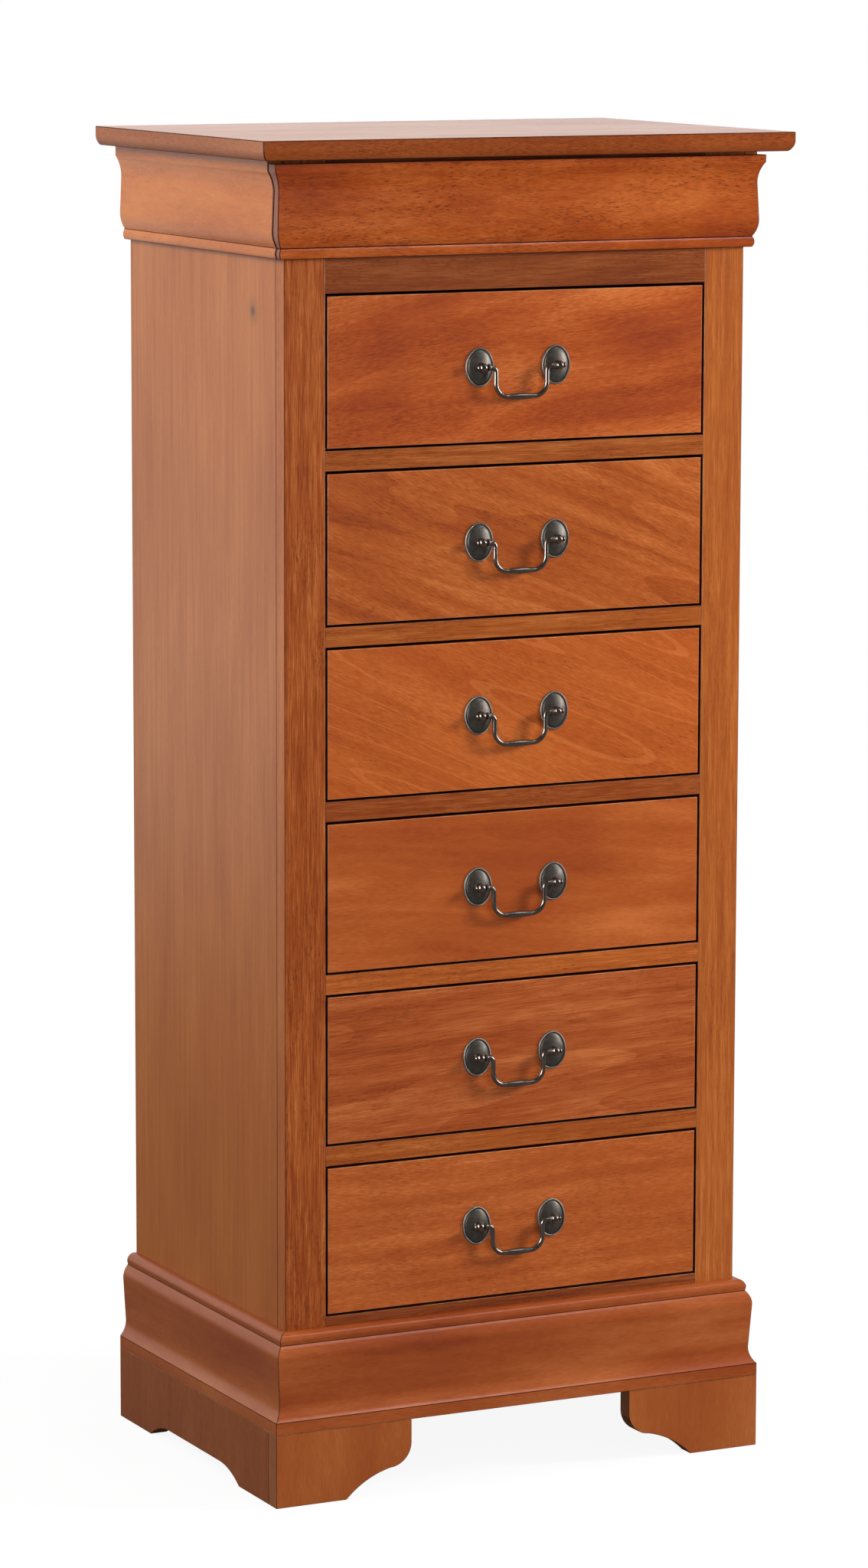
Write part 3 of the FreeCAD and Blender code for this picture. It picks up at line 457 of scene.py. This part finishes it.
def bracket_slot(normal):
    """Face, sawn edge or the upright strip at the outer end."""
    if abs(normal.y) > FACING:
        return 0
    return 2 if abs(normal.x) > SQUARE_TO else 1


def skirt_slot(normal):
    return 0 if abs(normal.x) > FACING else 1


def foot_mark(normal):
    return -1.0 if normal.z > LEANING else 1.0


for side in ("left", "right"):
    finish = stained_wood(f"foot_{side}_grain", shades(163, 84, 35, 26), "z", wander=0.012, cloud=0.5,
                          ribbon=0.12, fleck=0.12, fibre=0.25, pore=0.12)
    mesh = eased_copy(f"foot_bracket_{side}", FOOT_ARRIS, bracket_slot, foot_mark)
    foot = place_piece(f"bracket_foot_{side}", mesh, "case", "foot_wood", finish, foot_edge_finish,
                       foot_strip_finish)
    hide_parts(f"foot_bracket_{side}")
    finish = stained_wood(f"skirt_{side}_grain", shades(146, 75, 28, 26), "z", wander=0.012, cloud=0.35,
                          ribbon=0.15, fleck=0.2, fibre=0.4, pore=0.2, roughness=0.36, lacquer=0.0)
    mesh = eased_copy(f"side_skirt_{side}", FOOT_ARRIS, skirt_slot, foot_mark)
    skirt = place_piece(f"skirt_board_{side}", mesh, "case", "foot_wood", finish, foot_edge_finish)
    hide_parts(f"side_skirt_{side}")


# Carcass stock: planed pale hardwood, left bare, for the runners, guides, stops, glue blocks and rear apron.
# These pieces are glued inside the case and under it, and show only behind an open drawer or from the back.

stock_tones = shades(192, 156, 112, 24)
STOCK_GRAIN = {"back_apron": "x", "corner_blocks": "z", "drawer_runners": "y", "side_guides": "y"}
for node, along in STOCK_GRAIN.items():
    dress(node, stained_wood(f"{node}_stock", stock_tones, along, rings=0.3, pore=0.35, roughness=0.6))


# Drawer fronts: veneered boards, each cut from another part of the flitch, so that no two match.
# The eased front arrises are paled in patches, partly as rubbed wear and partly as a painted highlight, and
# the edges that the frame hides keep a plain brown stain.

FRONT_LOOKS = {
    1: {"tones": shades(173, 80, 28, 36), "slope": 6, "wander": 0.030, "rings": 0.06, "cloud": 1.1,
        "ribbon": 0.2, "fleck": 0.1},
    2: {"tones": shades(172, 85, 31, 33), "slope": -22, "wander": 0.020, "rings": 0.12, "cloud": 0.4,
        "ribbon": 0.45},
    3: {"tones": shades(182, 89, 32, 26), "slope": -24, "wander": 0.012, "lines": 0.4, "cloud": 0.3},
    4: {"tones": shades(172, 83, 31, 28), "slope": -4, "wander": 0.030, "cloud": 0.7, "fibre": 0.3,
        "pore": 0.15},
    5: {"tones": shades(165, 79, 31, 35), "slope": 2, "wander": 0.010, "rings": 0.10, "cloud": 0.3,
        "ribbon": 0.45, "fibre_length": 0.03},
    6: {"tones": shades(176, 87, 34, 31), "slope": 1, "wander": 0.024, "rings": 0.05, "cloud": 0.35},
}
FLITCH_STEP = Vector((0.31, 0.0, 0.17))
ROUNDED_FROM, ROUNDED_TO = -0.95, -0.05


def front_slot(normal):
    return 1 if max(abs(normal.x), abs(normal.z)) > SQUARE_TO else 0


for number, look in FRONT_LOOKS.items():
    finish = stained_wood(f"drawer_{number}_veneer", along="x", shift=FLITCH_STEP * number, **look)
    mesh = whole_copy(f"drawer_{number}_front", front_slot)
    mark = mesh.faces.layers.float["arris"]
    # The rounded arrises are marked pale: rubbed wear and a painted highlight along the front's edges.
    for face in mesh.faces:
        if ROUNDED_FROM < face.normal.y < ROUNDED_TO:
            face[mark] = -1.0
    front = place_piece(f"drawer_{number}_board", mesh, f"drawer_{number}", "front_wood", finish,
                        hidden_edge_finish)
    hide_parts(f"drawer_{number}_front")


# Drawer boxes: clear-sealed pale hardwood sides, dovetailed to the fronts, with a back let in between them.
# A thin plywood bottom slides in grooves of the sides.

DRAWER_BOARD = 0.011
box_tones = shades(204, 168, 120, 24)


def turn_grain_between(material, half_width):
    """Turn the grain across for the boards that lie between the two sides."""
    tree = material.node_tree
    place = next(node for node in tree.nodes if node.type == "TEX_COORD").outputs["Object"]
    grain = next(link.to_node for link in place.links if link.to_node.type == "MAPPING")
    across = wire(tree, "SeparateXYZ", {0: place}).outputs["X"]
    inside = wire(tree, "Math", {0: across, 1: 0.0, 2: half_width}, operation="COMPARE").outputs[0]
    turned = wire(tree, "Mapping", {"Vector": place, "Rotation": (0.0, 0.0, math.pi / 2)}).outputs[0]
    chosen = wire(tree, "Mix", {0: inside, 4: place, 5: turned}, data_type="VECTOR").outputs[1]
    tree.links.new(chosen, grain.inputs["Vector"])


box_finish = stained_wood("drawer_side_stock", box_tones, "y", rings=0.35, pore=0.3, roughness=0.5)
turn_grain_between(box_finish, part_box("drawer_1_box")[1].x - DRAWER_BOARD - MERGED)
bottom_finish = stained_wood("drawer_bottom_plywood", panel_tones, "x", wander=0.02, rings=0.4, fibre=0.3,
                             pore=0.2, roughness=0.6)
for drawer in [f"drawer_{number}" for number in FRONT_LOOKS] + ["cornice_drawer"]:
    dress(f"{drawer}_box", box_finish)
    dress(f"{drawer}_bottom", bottom_finish)


# Pull plates: cast oval backplates in antiqued dark metal, held to the drawer front by the posts.
# A milled rim is rubbed bright, with a sooty groove inside it and a smooth dome under the post.

PLATE_HALF_WIDTH, PLATE_HALF_HEIGHT = 0.0149, 0.0187
POST_HALF_SPACING = 0.0405
PLATE_TICKS = 68
TICK_DEPTH = 0.0005
# Inset from the edge and height over the drawer front, from the edge to the foot of the dome.
RIM_STEPS = ((0.0, 0.0009), (0.0003, 0.0015), (0.0009, 0.0019), (0.0015, 0.0015), (0.0020, 0.0008),
             (0.0025, 0.0009))
MILLED_STEPS, GROOVE_STEP = (1, 2, 3), 4
DOME_FOOT, DOME_TOP = 0.0013, 0.0044
DOME_SHARES = (0.96, 0.88, 0.77, 0.64, 0.50, 0.34, 0.18)
DARK_METAL, RUBBED_METAL, SOOT = stain(90, 83, 76), stain(240, 233, 224), stain(14, 13, 12)
RUBBED, SOOTY = 1.2, -1.0
METAL_PATCHES, METAL_GRIT = 260.0, 1400.0
WORN_PATCH, RUBBED_SMOOTHER, GRIT_ROUGHER = 0.06, 0.08, 0.12


def antiqued_metal(name, body_colour, roughness, metal_share):
    """Blackened cast metal, bright or sooty where the mesh is marked as rubbed."""
    material = bpy.data.materials.new(name)
    material.use_nodes = True
    tree = material.node_tree
    place = wire(tree, "TexCoord", {}).outputs["Object"]
    patches = wire(tree, "TexNoise", {"Vector": place, "Scale": METAL_PATCHES, "Detail": 3.0}).outputs["Fac"]
    grit = wire(tree, "TexNoise", {"Vector": place, "Scale": METAL_GRIT, "Detail": 2.0}).outputs["Fac"]
    rubbed = wire(tree, "Attribute", {}, attribute_name="rubbed").outputs["Fac"]
    bright = add_share(tree, span(tree, patches, 0.35, 0.7), WORN_PATCH, rubbed)
    shader = tree.nodes["Principled BSDF"]
    colour = tint(tree, bright, body_colour, RUBBED_METAL)
    colour = tint(tree, add_share(tree, rubbed, -1.0, 0.0), colour, SOOT)
    tree.links.new(colour, shader.inputs["Base Color"])
    smoothed = add_share(tree, rubbed, -RUBBED_SMOOTHER, roughness - GRIT_ROUGHER / 2)
    tree.links.new(add_share(tree, grit, GRIT_ROUGHER, smoothed), shader.inputs["Roughness"])
    bump = wire(tree, "Bump", {"Height": grit, "Strength": 0.05, "Distance": 0.0002})
    tree.links.new(bump.outputs[0], shader.inputs["Normal"])
    shader.inputs["Metallic"].default_value = metal_share
    return material


def bail_pivot(number):
    """Middle of the line that the drawer's bail swings about."""
    swing = f"bail_{number}_swing"
    return Vector(next(joint["pos_m"] for joint in frame["joints"] if joint["name"] == swing))


def ring_parts(made):
    """The points of a ring that was just made and the edges that join them."""
    points = [item for item in made if isinstance(item, bmesh.types.BMVert)]
    kept = set(points)
    edges = [item for item in made if isinstance(item, bmesh.types.BMEdge)]
    return points, [edge for edge in edges if kept.issuperset(edge.verts)]


def add_plate(mesh, centre):
    """One oval plate, drawn ring by ring from its edge to the top of its dome."""
    rubbed = mesh.verts.layers.float["rubbed"]
    upright = Matrix.Rotation(math.pi / 2, 4, "X")
    oval = Matrix.Diagonal((PLATE_HALF_WIDTH, 1.0, PLATE_HALF_HEIGHT, 1.0))
    made = bmesh.ops.create_circle(mesh, cap_ends=True, radius=1.0, segments=2 * PLATE_TICKS,
                                   matrix=Matrix.Translation(centre) @ oval @ upright)
    edges = list({edge for vert in made["verts"] for edge in vert.link_edges})
    steps = [(PLATE_HALF_WIDTH - inset, PLATE_HALF_HEIGHT - inset, rise) for inset, rise in RIM_STEPS]
    dome_width, dome_height = steps[-1][:2]
    for share in DOME_SHARES:
        rise = DOME_FOOT + (DOME_TOP - DOME_FOOT) * (1 - share * share)
        steps.append((share * dome_width, share * dome_height, rise))
    last_width, last_height = PLATE_HALF_WIDTH, PLATE_HALF_HEIGHT
    for index, (width, height, level) in enumerate(steps):
        ring, edges = ring_parts(bmesh.ops.extrude_edge_only(mesh, edges=edges)["geom"])
        bmesh.ops.scale(mesh, vec=(width / last_width, 1.0, height / last_height), verts=ring,
                        space=Matrix.Translation(-centre))
        last_width, last_height = width, height
        for vert in ring:
            way = vert.co - centre
            turn = math.atan2(way.z / height, way.x / width)
            on_tick = round(turn * PLATE_TICKS / math.pi) % 2 == 0
            raised = index in MILLED_STEPS and on_tick
            sunk = index in MILLED_STEPS and not on_tick
            vert.co.y = centre.y - level + (TICK_DEPTH if sunk else 0.0)
            if raised:
                vert[rubbed] = RUBBED
            elif sunk or index == GROOVE_STEP:
                vert[rubbed] = SOOTY
            else:
                vert[rubbed] = 0.0
    bmesh.ops.edgeloop_fill(mesh, edges=edges)


plate_finish = antiqued_metal("plate_metal", DARK_METAL, roughness=0.42, metal_share=0.8)
for number in FRONT_LOOKS:
    front_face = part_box(f"drawer_{number}_front")[0].y
    mesh = bmesh.new()
    mesh.verts.layers.float.new("rubbed")
    for side in (-1, 1):
        add_plate(mesh, Vector((side * POST_HALF_SPACING, front_face, bail_pivot(number).z)))
    bmesh.ops.recalc_face_normals(mesh, faces=mesh.faces)
    plates = place_piece(f"drawer_{number}_plates", mesh, f"drawer_{number}", "pull_metal", plate_finish)
    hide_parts(f"drawer_{number}_pull")


# Posts: turned studs with a ball that holds the bail's pin, in the same metal, kept brighter.
# Each passes through plate and front and is drawn tight by a hexagon nut inside the drawer.

BALL_RADIUS, NECK_RADIUS, SHANK_RADIUS = 0.0045, 0.0031, 0.0024
BALL_STEPS = 10
# Radius and height over the dome of the bead that sits on the plate.
FOOT_BEAD = ((SHANK_RADIUS, -0.0012), (0.0042, -0.0006), (0.0044, -0.0002), (0.0042, 0.0002),
             (NECK_RADIUS, 0.0005))
SHANK_LENGTH, THREAD_LENGTH, THREAD_PITCH, THREAD_DEPTH = 0.027, 0.0085, 0.0008, 0.0003
NUT_WIDTH, NUT_THICKNESS, NUT_CHAMFER = 0.008, 0.004, 0.0005
TURNING_STEPS = 32
ROD_METAL = stain(130, 120, 111)


def turn_profile(mesh, centre, axis, outward, profile):
    """Spin a chain of (radius, reach) points about the axis through the centre; reach runs along the axis."""
    points = [mesh.verts.new(centre + axis * reach + outward * radius) for radius, reach in profile]
    chain = [mesh.edges.new(pair) for pair in zip(points, points[1:])]
    bmesh.ops.spin(mesh, geom=points + chain, cent=centre, axis=axis, angle=2 * math.pi, steps=TURNING_STEPS,
                   use_merge=True)


def post_profile(standoff):
    """From the threaded end inside the drawer, over the bead on the plate, to the crown of the ball."""
    profile = [(0.0, -SHANK_LENGTH)]
    for index in range(int(THREAD_LENGTH / THREAD_PITCH)):
        start = -SHANK_LENGTH + index * THREAD_PITCH
        profile += [(SHANK_RADIUS - THREAD_DEPTH, start), (SHANK_RADIUS, start + THREAD_PITCH / 2)]
    profile += [(radius, DOME_TOP + rise) for radius, rise in FOOT_BEAD]
    start = math.asin(NECK_RADIUS / BALL_RADIUS)
    for index in range(BALL_STEPS + 1):
        turn = start + (math.pi - start) * index / BALL_STEPS
        profile.append((BALL_RADIUS * math.sin(turn), standoff - BALL_RADIUS * math.cos(turn)))
    return profile


def add_nut(mesh, middle):
    radius = NUT_WIDTH / math.sqrt(3)
    upright = Matrix.Translation(middle) @ Matrix.Rotation(math.pi / 2, 4, "X")
    bmesh.ops.create_cone(mesh, cap_ends=True, segments=6, radius1=radius, radius2=radius,
                          depth=NUT_THICKNESS, matrix=upright)


post_finish = antiqued_metal("post_metal", ROD_METAL, roughness=0.20, metal_share=0.96)
for number in FRONT_LOOKS:
    pivot = bail_pivot(number)
    front_face, inner_face = (corner.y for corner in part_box(f"drawer_{number}_front"))
    post_mesh, nut_mesh = bmesh.new(), bmesh.new()
    for side in (-1, 1):
        seat = Vector((side * POST_HALF_SPACING, front_face, pivot.z))
        profile = post_profile(front_face - pivot.y)
        turn_profile(post_mesh, seat, Vector((0, -1, 0)), Vector((1, 0, 0)), profile)
        add_nut(nut_mesh, Vector((seat.x, inner_face + NUT_THICKNESS / 2, seat.z)))
    bmesh.ops.remove_doubles(post_mesh, verts=post_mesh.verts, dist=MERGED)
    bmesh.ops.recalc_face_normals(post_mesh, faces=post_mesh.faces)
    bmesh.ops.bevel(nut_mesh, geom=nut_mesh.edges[:], offset=NUT_CHAMFER, offset_type="OFFSET",
                    affect="EDGES", segments=2, profile=0.5, material=-1, clamp_overlap=True)
    posts = place_piece(f"drawer_{number}_posts", post_mesh, f"drawer_{number}", "pull_metal", post_finish)
    nuts = place_piece(f"drawer_{number}_nuts", nut_mesh, f"drawer_{number}", "pull_metal", post_finish)
    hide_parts(f"drawer_{number}_pull")
    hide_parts(f"drawer_{number}_pull")


# Bails: rods bent to a drop handle and swollen at the grip, in the metal of the posts.
# A collar and a headed pin at each end turn in the balls of the posts.

ROD_RADIUS, GRIP_RADIUS, HALF_SWELL = 0.00235, 0.0032, 0.0135
LEG_X, DROP, SHOULDER, CORNER = 0.0271, 0.0281, 0.0046, 0.013
COLLAR_X = 0.03355
ROD_SEGMENTS, SHOULDER_STEPS, CORNER_STEPS, GRIP_STEPS = 20, 8, 14, 16
# Radius and distance from the middle of the pull: collar, pin through the ball, rounded head.
PIN_PROFILE = ((0.0, 0.0334), (0.0028, 0.0334), (0.0033, 0.0337), (0.0035, 0.0342), (0.0035, 0.0352),
               (0.0033, 0.03565), (0.0028, 0.03595), (0.0017, 0.03595), (0.0017, 0.04505), (0.0024, 0.04505),
               (0.0027, 0.0453), (0.0026, 0.0458), (0.0021, 0.0465), (0.0012, 0.0470), (0.0, 0.04725))


def run_rod(mesh, ring, way):
    """Carry the end ring of the rod straight on."""
    points, edges = ring_parts(bmesh.ops.extrude_edge_only(mesh, edges=ring[1])["geom"])
    bmesh.ops.translate(mesh, vec=way, verts=points)
    return points, edges


def bend_rod(mesh, ring, centre, angle, steps):
    """Carry the end ring of the rod round a bend about a line through the centre along Y."""
    made = bmesh.ops.spin(mesh, geom=ring[0] + ring[1], cent=centre, axis=(0, 1, 0), angle=angle, steps=steps)
    return ring_parts(made["geom_last"])


def add_half_bail(mesh, pivot):
    """The rod from the collar at one end to the middle of the grip, and the pin at that end."""
    start = Matrix.Translation(pivot + Vector((COLLAR_X, 0, 0))) @ Matrix.Rotation(math.pi / 2, 4, "Y")
    made = bmesh.ops.create_circle(mesh, cap_ends=False, radius=ROD_RADIUS, segments=ROD_SEGMENTS,
                                   matrix=start)
    ring = made["verts"], list({edge for vert in made["verts"] for edge in vert.link_edges})
    half_grip = LEG_X - CORNER
    shoulder_centre = pivot + Vector((LEG_X + SHOULDER, 0, -SHOULDER))
    corner_centre = pivot + Vector((half_grip, 0, CORNER - DROP))
    ring = run_rod(mesh, ring, (LEG_X + SHOULDER - COLLAR_X, 0, 0))
    ring = bend_rod(mesh, ring, shoulder_centre, -math.pi / 2, SHOULDER_STEPS)
    ring = run_rod(mesh, ring, (0, 0, SHOULDER + CORNER - DROP))
    ring = bend_rod(mesh, ring, corner_centre, math.pi / 2, CORNER_STEPS)
    radius = ROD_RADIUS
    for index in range(1, GRIP_STEPS + 1):
        ring = run_rod(mesh, ring, (-half_grip / GRIP_STEPS, 0, 0))
        x = half_grip * (1 - index / GRIP_STEPS)
        wave = max(0.0, math.cos(math.pi / 2 * min(1.0, x / HALF_SWELL)))
        swollen = ROD_RADIUS + (GRIP_RADIUS - ROD_RADIUS) * wave
        bmesh.ops.scale(mesh, vec=(1.0, swollen / radius, swollen / radius), verts=ring[0],
                        space=Matrix.Translation(-(pivot + Vector((x, 0, -DROP)))))
        radius = swollen
    turn_profile(mesh, pivot, Vector((1, 0, 0)), Vector((0, 0, 1)), PIN_PROFILE)


bail_finish = antiqued_metal("bail_metal", ROD_METAL, roughness=0.23, metal_share=0.94)
for number in FRONT_LOOKS:
    mesh = bmesh.new()
    add_half_bail(mesh, bail_pivot(number))
    bmesh.ops.remove_doubles(mesh, verts=mesh.verts, dist=MERGED)
    bmesh.ops.mirror(mesh, geom=mesh.verts[:] + mesh.edges[:] + mesh.faces[:], matrix=Matrix.Identity(4),
                     merge_dist=MERGED, axis="X")
    bmesh.ops.recalc_face_normals(mesh, faces=mesh.faces)
    bail = place_piece(f"bail_{number}_rod", mesh, f"bail_{number}", "pull_metal", bail_finish)
    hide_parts(f"drawer_{number}_bail")


# Stage: a pale paper floor that keeps a soft shadow, under a white surround.
# A small key light on the right and a wide light in front fall on the wood, a fill lights the left side, and
# the strips show only in what is glossy.

FLOOR_REACH = 3.0
FLOOR_GLOW, FLOOR_MIRRORED = 1.04, 0.14
SHADOW_NEAR, SHADOW_FAR, SHADOW_KEPT = 0.35, 1.2, 0.12
WHITE = (1.0, 1.0, 1.0, 1.0)
PAPER, BOUNCE = (0.8, 0.8, 0.8, 1.0), (0.3, 0.3, 0.3, 1.0)
floor_mesh = bmesh.new()
bmesh.ops.create_grid(floor_mesh, x_segments=1, y_segments=1, size=FLOOR_REACH)
floor_data = bpy.data.meshes.new("floor")
floor_mesh.to_mesh(floor_data)
floor_mesh.free()
floor = bpy.data.objects.new("floor", floor_data)
bpy.context.scene.collection.objects.link(floor)
floor_finish = bpy.data.materials.new("floor_paper")
floor_finish.use_nodes = True
tree = floor_finish.node_tree
tree.nodes.remove(tree.nodes["Principled BSDF"])
path = wire(tree, "LightPath", {})
paper = wire(tree, "BsdfDiffuse", {"Color": PAPER}).outputs[0]
bounce = wire(tree, "BsdfDiffuse", {"Color": BOUNCE}).outputs[0]
glow = wire(tree, "Emission", {"Color": WHITE, "Strength": FLOOR_GLOW}).outputs[0]
mirrored = wire(tree, "Emission", {"Color": WHITE, "Strength": FLOOR_MIRRORED}).outputs[0]
place = wire(tree, "TexCoord", {}).outputs["Object"]
reach = wire(tree, "VectorMath", {0: place}, operation="LENGTH").outputs["Value"]
fade = span(tree, reach, SHADOW_NEAR, SHADOW_FAR, 1.0 - SHADOW_KEPT, 1.0)
seen = wire(tree, "MixShader", {0: fade, 1: paper, 2: glow}).outputs[0]
unseen = wire(tree, "MixShader", {0: path.outputs["Is Glossy Ray"], 1: bounce, 2: mirrored}).outputs[0]
shown = wire(tree, "MixShader", {0: path.outputs["Is Camera Ray"], 1: unseen, 2: seen}).outputs[0]
tree.links.new(shown, tree.nodes["Material Output"].inputs["Surface"])
floor_data.materials.append(floor_finish)

AMBIENT = 0.33
GLOSS_IN_FRONT, GLOSS_BEHIND = 0.05, 1.0
GLOSS_FADE = (-0.2, 0.5)
world = bpy.data.worlds.new("studio")
bpy.context.scene.world = world
world.use_nodes = True
tree = world.node_tree
tree.nodes.clear()
path = wire(tree, "LightPath", {})
way = wire(tree, "SeparateXYZ", {0: wire(tree, "TexCoord", {}).outputs["Generated"]}).outputs["Y"]
gloss = span(tree, way, *GLOSS_FADE, GLOSS_IN_FRONT, GLOSS_BEHIND)
surround = wire(tree, "Background", {"Color": WHITE, "Strength": gloss}).outputs[0]
soft = wire(tree, "Background", {"Color": WHITE, "Strength": AMBIENT}).outputs[0]
white = wire(tree, "Background", {"Color": WHITE, "Strength": 1.0}).outputs[0]
lit = wire(tree, "MixShader", {0: path.outputs["Is Glossy Ray"], 1: soft, 2: surround}).outputs[0]
straight = {0: path.outputs["Is Camera Ray"], 1: path.outputs["Is Transmission Ray"]}
sight = wire(tree, "Math", straight, operation="MAXIMUM").outputs[0]
shown = wire(tree, "MixShader", {0: sight, 1: lit, 2: white}).outputs[0]
tree.links.new(shown, wire(tree, "OutputWorld", {}).inputs["Surface"])

LAMPS = {
    "key": {"place": (2.6, -1.25, 1.65), "aim": (0.0, -0.16, 0.7), "size": (0.6, 0.6), "watts": 92,
            "use": "diffuse"},
    "fill": {"place": (-2.0, 0.1, 2.1), "aim": (-0.24, 0.0, 1.0), "size": (1.0, 1.0), "watts": 35,
             "use": "diffuse glossy"},
    "front": {"place": (0.2, -3.5, 1.6), "aim": (0.0, 0.0, 0.6), "size": (2.0, 2.0), "watts": 38,
              "use": "diffuse"},
    "right_strip": {"place": (2.6, -1.5, 1.45), "aim": (0.0, -0.16, 0.8), "size": (0.8, 1.5), "watts": 60,
                    "use": "glossy"},
    "left_strip": {"place": (-2.3, -0.9, 1.2), "aim": (0.0, -0.16, 0.8), "size": (0.7, 1.3), "watts": 55,
                   "use": "glossy"},
    "top_strip": {"place": (1.4, -1.7, 3.0), "aim": (0.0, -0.16, 0.8), "size": (0.7, 0.7), "watts": 8,
                  "use": "glossy"},
}
for name, lamp in LAMPS.items():
    light = bpy.data.lights.new(name, "AREA")
    light.shape = "RECTANGLE"
    light.size, light.size_y = lamp["size"]
    light.energy = lamp["watts"]
    stand = bpy.data.objects.new(name, light)
    stand.location = lamp["place"]
    stand.visible_diffuse = "diffuse" in lamp["use"]
    stand.visible_glossy = "glossy" in lamp["use"]
    beam = Vector(lamp["aim"]) - Vector(lamp["place"])
    stand.rotation_euler = beam.to_track_quat("-Z", "Y").to_euler()
    bpy.context.scene.collection.objects.link(stand)


# Camera: at the photograph's angle, from the left of the front and a little above.
# A long lens from over five metres keeps the uprights nearly parallel.

CAMERA_PLACE = (-2.4444, -4.9079, 1.5082)
CAMERA_YAW, CAMERA_PITCH, CAMERA_ROLL = 26.407, 8.840, 0.139
lens = bpy.data.cameras.new("camera")
lens.lens = 129.76
lens.sensor_width = 36.0
camera = bpy.data.objects.new("camera", lens)
camera.matrix_world = (
    Matrix.Translation(CAMERA_PLACE)
    @ Matrix.Rotation(math.radians(-CAMERA_YAW), 4, "Z")
    @ Matrix.Rotation(math.radians(90 - CAMERA_PITCH), 4, "X")
    @ Matrix.Rotation(math.radians(CAMERA_ROLL), 4, "Z")
)
bpy.context.scene.collection.objects.link(camera)
bpy.context.scene.camera = camera
bpy.context.scene.view_settings.view_transform = "Standard"
